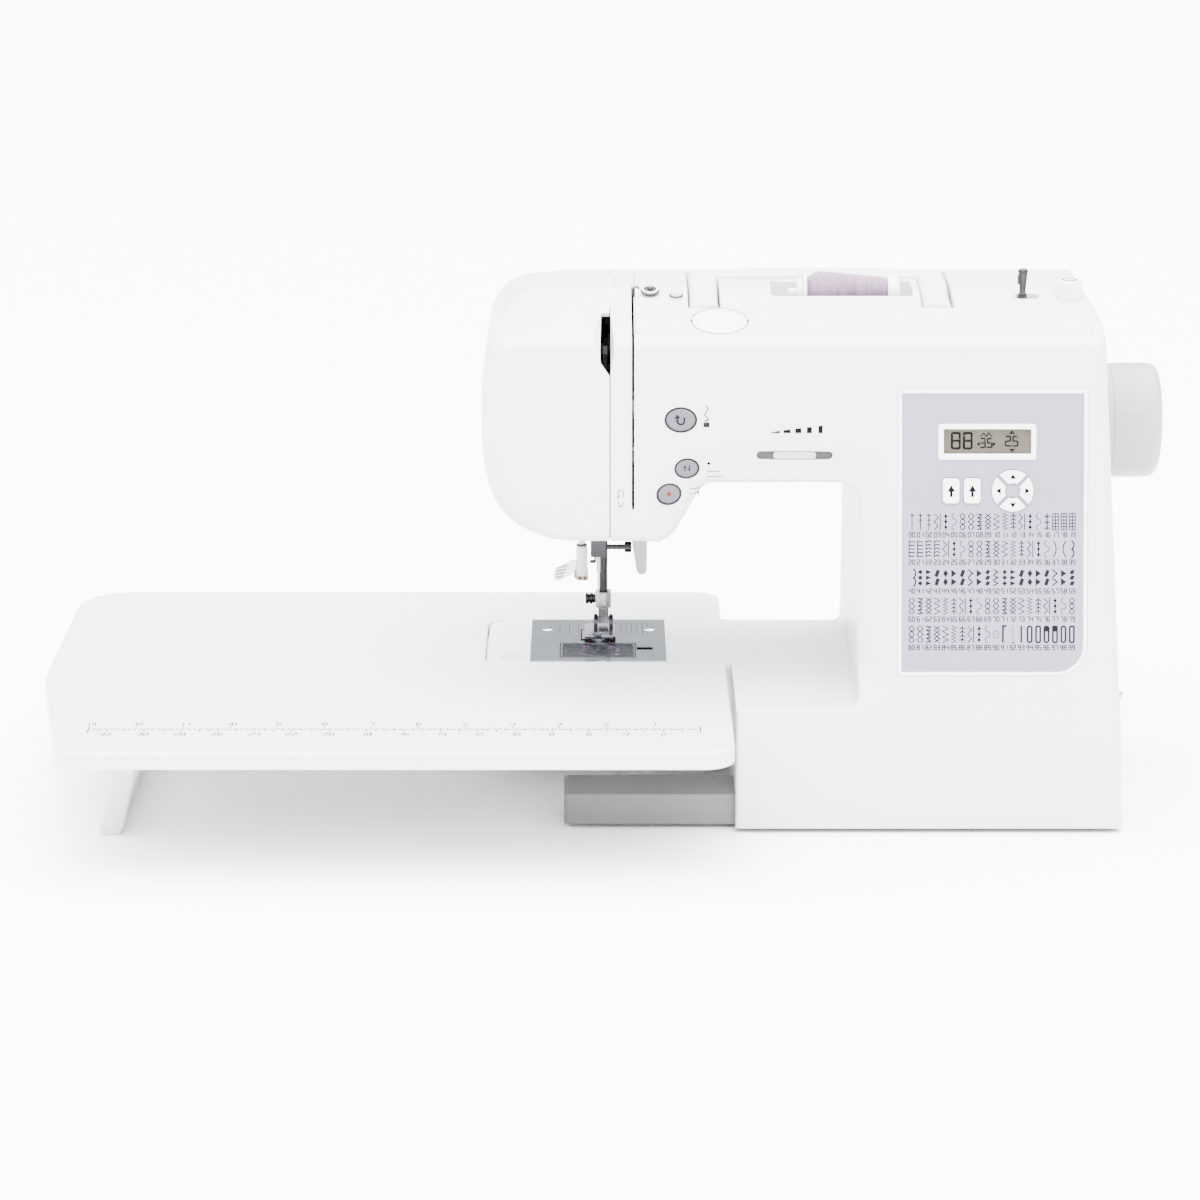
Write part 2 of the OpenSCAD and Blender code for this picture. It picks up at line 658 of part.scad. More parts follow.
module spool_cap() at_machine() color(white) translate([spool_x - 6, spool_y, spool_z]) difference() {
  union() {
    rod_x(15, 2.2);
    rod_x(8, 5.6);
  }
  translate([-1, 0, 0]) rod_x(spool_pin_r + running_fit, 10);
}

module thread_spool() at_machine() color([0.72, 0.55, 0.7]) translate([spool_x, spool_y, spool_z])
  rotate([0, 90, 0]) rotate_extrude() polygon([[spool_pin_r + 0.5, 0], [spool_r - 4, 0],
    [spool_r, 8], [spool_r - 3.5, spool_l], [spool_pin_r + 0.5, spool_l]]);

module winder_slider() at_machine() color(white) translate([winder_x, winder_y, winder_z])
  difference() {
    translate([-12, -8, 0]) cube([26, 16, 3]);
    translate([0, 0, -1]) cylinder(r = 2.5 + running_fit, h = 6);
  }

module winder_spindle() at_machine() color(dark) translate([winder_x, winder_y, winder_z - 3]) {
  cylinder(r = 2.5, h = 14);
  translate([0, 0, 14]) cylinder(r1 = 1.7, r2 = 2.8, h = 12);
  translate([0, 0, 26]) cylinder(r1 = 2.8, r2 = 2, h = 1.5);
}

module winder_stop() at_machine() color(white) translate([stop_x, winder_y, top_z(winder_y)]) {
  translate([0, 0, -4]) cylinder(r = stop_r, h = 12);
  translate([0, 0, 8]) cylinder(r1 = stop_r, r2 = stop_r - 1.2, h = 1.5);
}

module tension_dial() at_machine() color(white) on_slope(dial_x, dial_y) {
  translate([0, 0, -7.7]) cylinder(r = dial_r, h = 8.2);
  translate([0, 0, 0.5]) cylinder(r1 = dial_r - 1, r2 = dial_r - 4, h = 1.2);
}

module thread_guides() at_machine() color(steel) {
  on_slope(28, 104) {
    cylinder(r = 1.5, h = 4);
    translate([0, 0, 0.8]) cylinder(r1 = 3.4, r2 = 5.4, h = 0.8);
    translate([0, 0, 2]) cylinder(r1 = 5.4, r2 = 3, h = 1.4);
  }
  on_slope(42.5, 100) cylinder(r1 = 4, r2 = 3, h = 4);
}

// ---------- needle and presser ----------

module needle_bar() at_machine() color(steel) translate([needle_x, needle_y, 0]) difference() {
  union() {
    translate([0, 0, clamp_z]) cylinder(r = needle_bar_r, h = shaft_z + 58 - clamp_z);
    translate([-4.4, -4.4, clamp_z]) cube([8.8, 8.8, 10]);
  }
  translate([0, 0, clamp_z - 1]) cylinder(r = 1.02, h = 9);
  translate([0, 0, clamp_z + 5]) rod_x(1.5, 10);
}

module needle_bar_link() at_machine() color(steel) {
  z0 = link_z;
  z1 = shaft_z + crank_throw;
  difference() {
    union() {
      translate([needle_x, needle_y, z0 - 3]) cylinder(r = 5.5, h = 6);
      plate_x(2.4, 5.4) polygon([[needle_y - 4, z0 - 3], [needle_y + 4, z0 - 3],
        [shaft_y + 4, z1 + 4], [shaft_y - 4, z1 + 4]]);
    }
    translate([needle_x, needle_y, z0 - 10]) cylinder(r = needle_bar_r + 0.01, h = 20);
    box([needle_x + needle_bar_r - 2, needle_y - 3.02, z0 + 3], [needle_x + needle_bar_r + 0.01, needle_y + 3.02, z1 + 10]);
    translate([0, shaft_y, z1]) rod_x(2.6, 10);
  }
}
link_z = shaft_z + 2;

module needle_clamp_screw() at_machine() color(steel) translate([needle_x, needle_y, clamp_z + 5]) {
  translate([1.2, 0, 0]) rod_x(1.45, 14);
  translate([15.2, 0, 0]) rod_x(3.2, 4);
}

module needle() at_machine() color(steel) translate([needle_x, needle_y, 0]) {
  translate([0, 0, clamp_z - 10]) cylinder(r = 1, h = 17.9);
  translate([0, 0, clamp_z - 28]) cylinder(r = 0.45, h = 18);
  translate([0, 0, clamp_z - 32]) cylinder(r1 = 0.1, r2 = 0.45, h = 4);
}

module take_up_lever() at_machine() color(steel) {
  plate_x(1.6, 4) difference() {
    polygon([[take_up_y + 4, take_up_z - 4], [take_up_y + 4, take_up_z + 4], [take_up_y - 20, take_up_z + 18],
      [62, 262], [60, 258], [take_up_y - 22, take_up_z + 12], [take_up_y - 4, take_up_z - 4]]);
    translate([65, 260.3]) circle(1);
  }
  translate([1.6, take_up_y, take_up_z]) rod_x(2, 12);
}

module presser_bar() at_machine() color(steel) translate([presser_x, presser_y, 0]) {
  translate([0, 0, bar_end_z]) cylinder(r = presser_r, h = shaft_z + 50 - bar_end_z);
  translate([-5, -4, head_z + 22]) cube([10, 8, 8]);
}

module foot_holder() at_machine() color(steel) translate([presser_x, presser_y, 0]) difference() {
  union() {
    translate([-4.4, -4, foot_pin_z + 6.4]) cube([8.8, 8, 9]);
    translate([-3, -7, foot_pin_z - 2.2]) cube([6, 10, 9]);
  }
  translate([0, 0, bar_end_z - 0.05]) cylinder(r = presser_r + 0.02, h = 20);
  translate([-5, foot_pin_y - presser_y, foot_pin_z]) rod_x(1.3, 10);
  translate([-5, foot_pin_y - presser_y - 1.3, foot_pin_z - 5]) cube([10, 2.6, 5]);
}

module presser_screw() at_machine() color(steel) translate([presser_x - 4.5, presser_y, foot_pin_z + 11])
  rotate([0, -90, 0]) { cylinder(r = 2.7, h = 1.6); translate([0, 0, 1.6]) cylinder(r = 3.3, h = 4.4); }

module presser_foot() at_machine() color([0.85, 0.85, 0.86]) difference() {
  union() {
    box([presser_x - 11, needle_y - 9, bed_h + 1], [presser_x + 7, foot_pin_y + 5, bed_h + 2.8]);
    for (x = [presser_x - 5.4, presser_x + 3.4])
      box([x, foot_pin_y - 4, bed_h + 2.7], [x + 2, foot_pin_y + 4, foot_pin_z + 2.4]);
    translate([presser_x - 5.4, foot_pin_y, foot_pin_z]) rod_x(1.2, 10.8);
  }
  box([needle_x - 3.5, needle_y - 1.5, bed_h - 1], [needle_x + 3.5, needle_y + 1.5, bed_h + 4]);
  box([needle_x - 0.8, needle_y - 12, bed_h - 1], [needle_x + 0.8, needle_y, bed_h + 4]);
}

module lifter_lever() at_machine() color(white) difference() {
  union() {
    translate([lifter_x, frame_y - 6.5, lifter_z]) rod_y(5, 6);
    translate([lifter_x, frame_y - 6.5, lifter_z]) rod_y(2, 14);
    plate_y(frame_y - 6.5, frame_y - 0.5) polygon([[lifter_x - 4, lifter_z], [lifter_x + 5, lifter_z],
      [lifter_x + 12, lifter_z - 20], [lifter_x + 11, lifter_z - 46], [lifter_x + 6, lifter_z - 46],
      [lifter_x + 2, lifter_z - 22]]);
  }
}

module needle_threader() at_machine() color(white) {
  translate([-10.5, needle_y - 8, clamp_z - 10]) cylinder(r = 3.3, h = 19);
  translate([-10.5, needle_y - 8, clamp_z + 9]) cylinder(r = 2, h = 62);
  box([-27, needle_y - 9.5, clamp_z - 13], [-12, needle_y - 6.5, clamp_z - 1]);
  box([-10.5, needle_y - 9, clamp_z - 13], [-6.6, needle_y - 7, clamp_z - 8]);
}

// ---------- needle plate ----------

cover_x0 = hook_x - 21.5;
cover_x1 = hook_x + 22;
cover_y0 = hook_y - 19;
cover_y1 = needle_y - 10;

module needle_plate() at_machine() color(steel) difference() {
  box([plate_x0, plate_y0, bed_h - plate_t + 0.02], [plate_x1, plate_y1, bed_h]);
  box([cover_x0 - seam / 2, cover_y0 - seam / 2, 0], [cover_x1 + seam / 2, cover_y1 + seam / 2, big]);
  // needle slot and feed slots
  translate([0, 0, bed_h - 5]) linear_extrude(10)
    round_rect(needle_x - 4, needle_y - 1, needle_x + 4, needle_y + 1, 0.9);
  for (x = feed_x) box([x - 0.7, needle_y - 6, 0], [x + 4.7, needle_y + 18, big]);
  box([cover_x1 + 0.6, hook_y - 3, 0], [cover_x1 + 10, hook_y + 2, big]);
}
feed_x = [-10.5, 4.5];

module bobbin_cover() at_machine() color([0.8, 0.85, 0.88, 0.4])
  box([cover_x0, cover_y0, bed_h - 1.4], [cover_x1, cover_y1, bed_h]);

module cover_release() at_machine() color(dark) {
  box([cover_x1 + 0.8, hook_y - 2.5, bed_h - 1.8], [cover_x1 + 6.4, hook_y + 1.5, bed_h - 0.2]);
  box([cover_x1 + 0.4, hook_y - 5, bed_h - 3.4], [cover_x1 + 6.4, hook_y + 4, bed_h - 1.8]);
}

module feed_dog() at_machine() color(steel) {
  for (x = feed_x) difference() {
    box([x, needle_y - 3.5, bed_h - 6], [x + 4, needle_y + 15, bed_h + 0.5]);
    for (i = [0:8]) translate([x - 1, needle_y - 2.5 + 2 * i, bed_h + 0.5]) rotate([45, 0, 0])
      cube([6, 0.7, 0.7]);
  }
  box([feed_x[0], needle_y + 6, bed_h - 9], [feed_x[1] + 4, needle_y + 15, bed_h - 5.9]);
}

// ---------- extension table ----------

module table_outline(inset) offset(delta = -inset) polygon(concat(
  [[table_right, -table_front + 17]],
  arc([table_right - 17, -table_front + 17], 17, 0, -90, 4),
  arc([-table_left + 23 + 12, -table_front + 12], 12, -90, -172, 4),
  [[-table_left, 75]],
  arc([-table_left + 32, body_d + table_back - 32], 32, 180, 90, 8),
  arc([table_right - 14, body_d + table_back - 14], 14, 90, 0, 4)));

module table_cut(grow) {
  translate([0, 0, -1]) linear_extrude(big)
    round_rect(-head_left - table_gap - grow, free_arm_front - table_gap - grow,
      big, body_d + table_gap + grow, free_arm_r + table_gap + grow);
}

module extension_table() at_machine() color(white) difference() {
  union() {
    difference() {
      translate([0, 0, bed_h - lip_h]) linear_extrude(lip_h) table_outline(0);
      translate([0, 0, bed_h - lip_h - 1]) linear_extrude(lip_h + 1 - table_t) table_outline(2.6);
    }
    // rim around the free arm and two cross ribs
    intersection() {
      translate([0, 0, bed_h - lip_h]) linear_extrude(lip_h - 0.1) table_outline(0);
      union() {
        difference() { table_cut(2.6); table_cut(0); }
        for (x = [leg_x + 80, leg_x + 150]) box([x, -table_front, bed_h - lip_h], [x + 2.6, body_d + table_back, bed_h]);
        // leg hinge lugs
        for (y = [leg_y - 4.4, leg_y + leg_w + 0.4])
          box([leg_x - 5, y, bed_h - lip_h], [leg_x + 5, y + 4, bed_h]);
      }
    }
    for (y = [leg_y - 4.4, leg_y + leg_w + 0.4])
      box([leg_x - 5, y, leg_z - 6], [leg_x + 5, y + 4, bed_h - 1]);
  }
  translate([0, 0, -bed_h]) table_cut(0);
  translate([leg_x, leg_y - 10, leg_z]) rod_y(2.5 + running_fit, leg_w + 20);
}

module table_leg() at_machine() color(white) translate([leg_x, leg_y, leg_z]) difference() {
  union() {
    rod_y(4.5, leg_w);
    translate([0, -4.4, 0]) rod_y(2.5, leg_w + 8.8);
    rotate([90, 0, 0]) mirror([0, 0, 1]) linear_extrude(leg_w) polygon([[-leg_t / 2, 0],
      [leg_t / 2, 0], [leg_t / 2 - leg_splay, 0.5 - leg_z], [-leg_t / 2 - leg_splay, 0.5 - leg_z]]);
  }
  translate([-40, 13, -leg_z + 14]) cube([80, leg_w - 26, leg_z - 26]);
}

// ---------- power ----------

module power_inlet() at_machine() color(dark) difference() {
  box([inlet_x0, inlet_y0, inlet_z0], [base_right - 2.6, inlet_y1, inlet_z1]);
  // socket with its contact pins left standing
  difference() {
    plate_x(inlet_x0 + 5, base_right) round_rect(inlet_y0 + 5, inlet_z0 + 8, inlet_y0 + 27, inlet_z1 - 14, 4);
    for (y = [inlet_y0 + 11, inlet_y0 + 21]) translate([inlet_x0, y, inlet_z0 + 17]) rod_x(1.2, 12);
  }
  // rocker window
  box([inlet_x0 + 4, inlet_y0 + 33, inlet_z0 + 8], [base_right, inlet_y1 - 5, inlet_z1 - 6]);
}

rocker_z = (inlet_z0 + inlet_z1 + 2) / 2;
rocker_tilt = 8;
module power_switch() at_machine() color(dark) translate([inlet_x0 + 12, inlet_y0 + 33.6, rocker_z])
  rotate([-90, 0, 0]) linear_extrude(inlet_y1 - inlet_y0 - 39.2)
    rotate(rocker_tilt) polygon([[-5, 2], [-5, -2], [1, -11], [7, -11.5], [5.4, 0], [7, 11.5], [1, 11]]);

base_tray();
rubber_feet();
case_screws();
frame_casting();
free_arm_cover();
front_cover();
rear_cover();
top_cover();
face_cover();
control_panel();
display_window();
display_module();
control_board();
key_tens();
key_units();
key_up();
key_down();
key_left();
key_right();
reverse_button();
needle_button();
start_button();
speed_slider();
handwheel();
main_shaft();
lower_shaft();
rotary_hook();
bobbin_case();
bobbin();
drive_motor();
motor_pulley();
drive_belts();
carry_handle();
spool_pin();
spool_cap();
thread_spool();
winder_slider();
winder_spindle();
winder_stop();
tension_dial();
thread_guides();
needle_bar();
needle_bar_link();
needle_clamp_screw();
needle();
take_up_lever();
presser_bar();
foot_holder();
presser_screw();
presser_foot();
lifter_lever();
needle_threader();
needle_plate();
bobbin_cover();
cover_release();
feed_dog();
extension_table();
table_leg();
power_switch();
power_inlet();
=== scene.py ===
import math
import bmesh
import bpy
import numpy as np
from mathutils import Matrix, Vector
from mathutils.geometry import delaunay_2d_cdt


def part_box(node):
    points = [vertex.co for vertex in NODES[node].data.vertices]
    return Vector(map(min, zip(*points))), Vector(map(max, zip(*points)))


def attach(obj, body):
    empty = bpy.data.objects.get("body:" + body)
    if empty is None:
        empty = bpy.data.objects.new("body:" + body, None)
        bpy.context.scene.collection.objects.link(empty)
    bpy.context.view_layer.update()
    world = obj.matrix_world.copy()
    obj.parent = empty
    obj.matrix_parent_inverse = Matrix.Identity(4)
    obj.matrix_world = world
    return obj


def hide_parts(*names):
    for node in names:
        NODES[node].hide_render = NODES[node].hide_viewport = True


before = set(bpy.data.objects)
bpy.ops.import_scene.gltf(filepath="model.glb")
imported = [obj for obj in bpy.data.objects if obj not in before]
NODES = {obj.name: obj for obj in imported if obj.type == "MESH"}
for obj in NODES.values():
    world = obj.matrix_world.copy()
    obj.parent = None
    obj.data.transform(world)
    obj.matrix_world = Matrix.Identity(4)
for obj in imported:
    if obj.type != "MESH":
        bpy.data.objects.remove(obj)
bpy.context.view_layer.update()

# The design is laid out in millimetres from the needle line (X), the front of the base (Y) and
# the floor (Z). at_frame() moves it to the shared frame, by way of the CAD boxes.
SHIFT_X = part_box("needle_plate")[0].x * 1000 + 40
SHIFT_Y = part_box("front_cover")[0].y * 1000
BED = 72.0
BODY_H = 285.0
BODY_D = 178.0
LEAN = 46 / 190
LEAN_ANGLE = math.atan(LEAN)
SLOPE_Y0, SLOPE_Z0, SLOPE_RATE = 52.254, 269.272, 0.2633
SPLIT_Y = 118.0
FACE_X = 5.5


def at_frame(p):
    """A design point in millimetres as a point of the shared frame in metres."""
    return ((p[0] + SHIFT_X) / 1000, (p[1] + SHIFT_Y) / 1000, p[2] / 1000)


def smooth(t):
    """0 to 1 with soft ends."""
    t = np.clip(t, 0, 1)
    return t * t * (3 - 2 * t)


def face_y(z):
    """The front of the body at a height, without rounding."""
    return max(0.0, LEAN * (z - BED))


def top_z(y):
    """Height of the top surface: the front slope, then flat."""
    return min(BODY_H, SLOPE_Z0 + SLOPE_RATE * (y - SLOPE_Y0))


# ---------------------------------------------------------------- materials

def new_material(name):
    m = bpy.data.materials.new(name)
    m.use_nodes = True
    return m, m.node_tree.nodes, m.node_tree.links


def mix_colour(nodes, links, factor, a, b, kind="MIX"):
    n = nodes.new("ShaderNodeMix")
    n.data_type = "RGBA"
    n.blend_type = kind
    for socket, value in ((n.inputs[0], factor), (n.inputs[6], a), (n.inputs[7], b)):
        if hasattr(value, "is_output"):
            links.new(value, socket)
        elif isinstance(value, (int, float)):
            socket.default_value = value
        else:
            socket.default_value = (*value, 1)
    return n.outputs[2]


def noise(nodes, links, vector, scale, detail=2.0, rough=0.5):
    n = nodes.new("ShaderNodeTexNoise")
    n.inputs["Scale"].default_value = scale
    n.inputs["Detail"].default_value = detail
    n.inputs["Roughness"].default_value = rough
    links.new(vector, n.inputs["Vector"])
    return n.outputs["Fac"]


def remap(nodes, links, value, a, b, lo, hi):
    """Values a to b as lo to hi."""
    n = nodes.new("ShaderNodeMapRange")
    n.inputs["From Min"].default_value = a
    n.inputs["From Max"].default_value = b
    n.inputs["To Min"].default_value = lo
    n.inputs["To Max"].default_value = hi
    links.new(value, n.inputs["Value"])
    return n.outputs["Result"]


def surface(name, colour, rough=0.4, vary=0.03, rough_vary=0.06, grain=2600.0, bump=0.05,
            metallic=0.0, coat=0.0, stretch=(1, 1, 1), transmission=0.0, alpha=1.0, wear=None,
            specular=0.5, subsurface=0.0, big=14.0):
    """A moulded or metal surface: slow and fine colour changes, uneven gloss, a fine grain in
    the bump, and paler or darker worn edges."""
    m, nodes, links = new_material(name)
    bsdf = nodes["Principled BSDF"]
    where = nodes.new("ShaderNodeTexCoord").outputs["Object"]
    mapping = nodes.new("ShaderNodeMapping")
    mapping.inputs["Scale"].default_value = stretch
    links.new(where, mapping.inputs["Vector"])
    slow = noise(nodes, links, where, big, 3)
    fine = noise(nodes, links, mapping.outputs["Vector"], grain, 2)
    mid = noise(nodes, links, mapping.outputs["Vector"], grain / 9, 4, 0.6)
    dark = tuple(c * (1 - vary) for c in colour)
    light = tuple(min(1, c * (1 + vary * 0.6)) for c in colour)
    base = mix_colour(nodes, links, remap(nodes, links, slow, 0.3, 0.7, 0, 1), dark, light)
    base = mix_colour(nodes, links, remap(nodes, links, mid, 0.35, 0.75, 0, 0.35), base, dark)
    if wear:
        edge = nodes.new("ShaderNodeNewGeometry").outputs["Pointiness"]
        base = mix_colour(nodes, links, remap(nodes, links, edge, 0.52, 0.62, 0, 0.6), base, wear)
    links.new(base, bsdf.inputs["Base Color"])
    mixed = nodes.new("ShaderNodeMath")
    mixed.operation = "MULTIPLY_ADD"
    links.new(mid, mixed.inputs[0])
    mixed.inputs[1].default_value = 0.6
    links.new(fine, mixed.inputs[2])
    links.new(remap(nodes, links, mixed.outputs[0], 0.5, 1.1, rough - rough_vary, rough + rough_vary),
              bsdf.inputs["Roughness"])
    b = nodes.new("ShaderNodeBump")
    b.inputs["Strength"].default_value = bump
    b.inputs["Distance"].default_value = 0.0002
    links.new(fine, b.inputs["Height"])
    links.new(b.outputs["Normal"], bsdf.inputs["Normal"])
    bsdf.inputs["Metallic"].default_value = metallic
    bsdf.inputs["Coat Weight"].default_value = coat
    bsdf.inputs["Coat Roughness"].default_value = 0.12
    bsdf.inputs["Transmission Weight"].default_value = transmission
    bsdf.inputs["Specular IOR Level"].default_value = specular
    bsdf.inputs["Alpha"].default_value = alpha
    bsdf.inputs["Subsurface Weight"].default_value = subsurface
    bsdf.inputs["Subsurface Scale"].default_value = 0.004
    return m


MAT = {
    "shell": surface("shell_plastic", (0.575, 0.575, 0.58), 0.4, 0.012, 0.05, bump=0.04, coat=0.15),
    "shell2": surface("shell_plastic_matt", (0.56, 0.56, 0.565), 0.5, 0.012, 0.05, bump=0.05),
    "table": surface("table_plastic", (0.575, 0.575, 0.578), 0.32, 0.01, 0.05, bump=0.03, coat=0.25),
    "panel": surface("panel_film", (0.190, 0.184, 0.238), 0.5, 0.02, 0.05, 4200, 0.06, specular=0.2),
    "button": surface("button_plastic", (0.085, 0.082, 0.10), 0.45, 0.03, 0.05, specular=0.2),
    "key": surface("key_plastic", (0.72, 0.72, 0.73), 0.35, 0.015, 0.04, coat=0.1),
    "dark": surface("dark_plastic", (0.006, 0.006, 0.0065), 0.45, 0.1, 0.08, specular=0.15),
    # near black: the lamp and the cover release, and painted shade in the screw slots and joint gaps
    "void": surface("black_and_painted_shade", (0.001, 0.001, 0.001), 0.8, 0.1, 0.05, specular=0.0),
    "grey": surface("base_plastic", (0.135, 0.132, 0.129), 0.5, 0.03, 0.06, specular=0.2),
    "grey2": surface("grey_plastic", (0.045, 0.045, 0.05), 0.5, 0.03, 0.06, specular=0.1),
    "steel": surface("ground_steel", (0.20, 0.20, 0.205), 0.26, 0.05, 0.08, 900, 0.1, 1.0,
                     stretch=(1, 1, 0.06)),
    "plate": surface("brushed_plate", (0.105, 0.135, 0.16), 0.24, 0.10, 0.07, 1500, 0.12, 1.0,
                     stretch=(0.04, 1, 1), big=45.0),
    "chrome": surface("chrome", (0.42, 0.42, 0.43), 0.14, 0.03, 0.05, 900, 0.03, 1.0),
    "chrome_dark": surface("dark_chrome", (0.030, 0.029, 0.031), 0.16, 0.06, 0.05, 900, 0.03, 1.0),
    "cast": surface("cast_metal", (0.06, 0.062, 0.065), 0.5, 0.08, 0.1, 700, 0.5, 0.9),
    "black": surface("motor_black", (0.006, 0.006, 0.007), 0.5, 0.15, 0.1, 1500, 0.3, specular=0.15),
    "rubber": surface("rubber", (0.006, 0.006, 0.006), 0.75, 0.2, 0.08, 1800, 0.4, specular=0.1),
    "pink": surface("bobbin_plastic", (0.55, 0.10, 0.36), 0.3, 0.06, 0.06, coat=0.1, specular=0.3),
    "beige": surface("threader_hook", (0.30, 0.24, 0.17), 0.4, 0.06, 0.06, specular=0.2),
    "lcd": surface("display_grey", (0.075, 0.067, 0.053), 0.4, 0.03, 0.04, specular=0.1),
    "lever": surface("take_up_steel", (0.010, 0.010, 0.011), 0.3, 0.1, 0.08, metallic=1.0),
    # the handwheel is white plastic like the shell; its darker grey is painted shade
    "wheel": surface("handwheel_plastic_painted_shade", (0.27, 0.27, 0.273), 0.42, 0.015, 0.05, bump=0.05, specular=0.3),
    "ink": surface("printed_ink", (0.0022, 0.0022, 0.003), 0.6, 0.2, 0.05, specular=0.05),
    "ink_grey": surface("printed_ink_grey", (0.022, 0.022, 0.026), 0.6, 0.1, 0.05, specular=0.05),
    "ink_soft": surface("printed_ink_pale", (0.10, 0.10, 0.103), 0.6, 0.1, 0.05, specular=0.1),
    "ink_chart": surface("chart_ink", (0.006, 0.006, 0.010), 0.6, 0.2, 0.05, specular=0.05),
    "panel_light": surface("slider_plastic", (0.36, 0.355, 0.42), 0.4, 0.02, 0.05, specular=0.3),
    "red": surface("mark_red", (0.135, 0.0003, 0.006), 0.4, 0.05, 0.04, specular=0.1),
}


def glass(name, colour, rough, alpha):
    """A see-through plastic."""
    return surface(name, colour, rough, 0.03, 0.03, 1200, 0.02, coat=0.05, alpha=alpha, specular=0.25)


MAT["clear"] = glass("clear_cover", (0.035, 0.04, 0.055), 0.16, 0.22)
MAT["frost"] = glass("translucent_white", (0.86, 0.87, 0.86), 0.3, 0.78)
MAT["window"] = glass("window_clear", (0.02, 0.02, 0.02), 0.2, 0.05)
MAT["ribbed"] = glass("clear_grip", (0.45, 0.50, 0.52), 0.2, 0.5)
MAT["rim"] = surface("button_rim", (0.012, 0.012, 0.014), 0.5, 0.1, 0.05, specular=0.1)
MAT["ink_mid"] = surface("printed_ink_mid", (0.010, 0.010, 0.014), 0.6, 0.1, 0.05, specular=0.05)
MAT["foot_metal"] = surface("foot_metal", (0.26, 0.24, 0.30), 0.2, 0.12, 0.06, 700, 0.05, 1.0, big=120.0)
# a darker copy of the shell colour for the lifter lever: painted shade
MAT["shell_painted_shade"] = surface("lever_plastic_painted_shade", (0.42, 0.42, 0.43), 0.45, 0.02, 0.05, specular=0.3)
MAT["ribbed_edge"] = surface("grip_ribs", (0.22, 0.27, 0.30), 0.3, 0.05, 0.05, specular=0.3)


# ---------------------------------------------------------------- mesh helpers

def ring_faces(steps, n, picked=None, closed=False):
    """Quads between rings of n points that follow each other; closed joins the last to the first."""
    wrap = steps if closed else steps + 1
    return [(k * n + i, k * n + (i + 1) % n, (k + 1) % wrap * n + (i + 1) % n, (k + 1) % wrap * n + i)
            for k in range(steps) for i in (range(n) if picked is None else picked)]


def edge_drop(distance, r):
    """How far an edge rounded by r falls away at a distance from the edge."""
    d = np.minimum(distance, r)
    return r - np.sqrt(np.maximum(r * r - (r - d) ** 2, 0))


def lifted(outline, z):
    """Points (x, y) at one height, or at a height for each."""
    return [(p[0], p[1], h) for p, h in zip(outline, np.broadcast_to(z, len(outline)))]


def shade(mesh, angle=35):
    """Smooth shading with creases kept sharp."""
    mesh.polygons.foreach_set("use_smooth", [True] * len(mesh.polygons))
    mesh.set_sharp_from_angle(angle=math.radians(angle))


def add(name, points, faces, body, material, nodes=(), slot=None, angle=35, tidy=True):
    """A piece from points in millimetres, riding on a body."""
    mesh = bpy.data.meshes.new(name)
    mesh.from_pydata([at_frame(p) for p in points], [], [tuple(f) for f in faces])
    bm = bmesh.new()
    bm.from_mesh(mesh)
    if tidy:
        bmesh.ops.remove_doubles(bm, verts=bm.verts, dist=1e-6)
        bmesh.ops.dissolve_degenerate(bm, dist=1e-7, edges=bm.edges)
        bmesh.ops.recalc_face_normals(bm, faces=bm.faces)
    bm.to_mesh(mesh)
    bm.free()
    mesh.validate()
    shade(mesh, angle)
    obj = bpy.data.objects.new(name, mesh)
    bpy.context.scene.collection.objects.link(obj)
    mesh.materials.append(MAT[material])
    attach(obj, body)
    if nodes:
        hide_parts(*nodes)
    return obj


def bevel(obj, width, segments=2, angle=38):
    """A rounded edge, width in millimetres."""
    b = obj.modifiers.new("bevel", "BEVEL")
    b.width = width / 1000
    b.segments = segments
    b.limit_method = "ANGLE"
    b.angle_limit = math.radians(angle)
    b.harden_normals = False
    b.use_clamp_overlap = True
    return obj


def flat_normals(obj):
    """Normals weighted by area, so large faces stay flat beside their rounded edges."""
    w = obj.modifiers.new("weighted", "WEIGHTED_NORMAL")
    w.keep_sharp = True
    w.weight = 60
    return obj


def sheet(name, parts, faces_up=lambda f: True):
    """A welded open sheet whose picked faces look up, ready to be made solid."""
    points, faces = join_parts(parts)
    mesh = bpy.data.meshes.new(name)
    mesh.from_pydata([at_frame(p) for p in points], [], faces)
    bm = bmesh.new()
    bm.from_mesh(mesh)
    bmesh.ops.remove_doubles(bm, verts=bm.verts, dist=4e-6)
    bmesh.ops.recalc_face_normals(bm, faces=bm.faces)
    if sum(f.normal.z * f.calc_area() for f in bm.faces if faces_up(f)) < 0:
        bmesh.ops.reverse_faces(bm, faces=bm.faces)
    bm.to_mesh(mesh)
    bm.free()
    return mesh


def join_parts(parts):
    """Several (points, faces) lists as one."""
    points, faces = [], []
    for p, f in parts:
        k = len(points)
        points += list(p)
        faces += [tuple(i + k for i in g) for g in f]
    return points, faces


def lathe(profile, centre, axis="z", n=64, closed=True):
    """A turned shape from (radius, height) pairs about an axis through centre."""
    points, faces = [], []
    m = len(profile)
    for i in range(n):
        a = 2 * math.pi * i / n
        for r, h in profile:
            u, v = r * math.cos(a), r * math.sin(a)
            p = {"z": (u, v, h), "x": (h, u, v), "y": (u, h, v)}[axis]
            points.append(tuple(c + q for c, q in zip(centre, p)))
    for i in range(n):
        j = (i + 1) % n
        for k in range(m - (0 if closed else 1)):
            l = (k + 1) % m
            faces.append((i * m + k, j * m + k, j * m + l, i * m + l))
    return points, faces


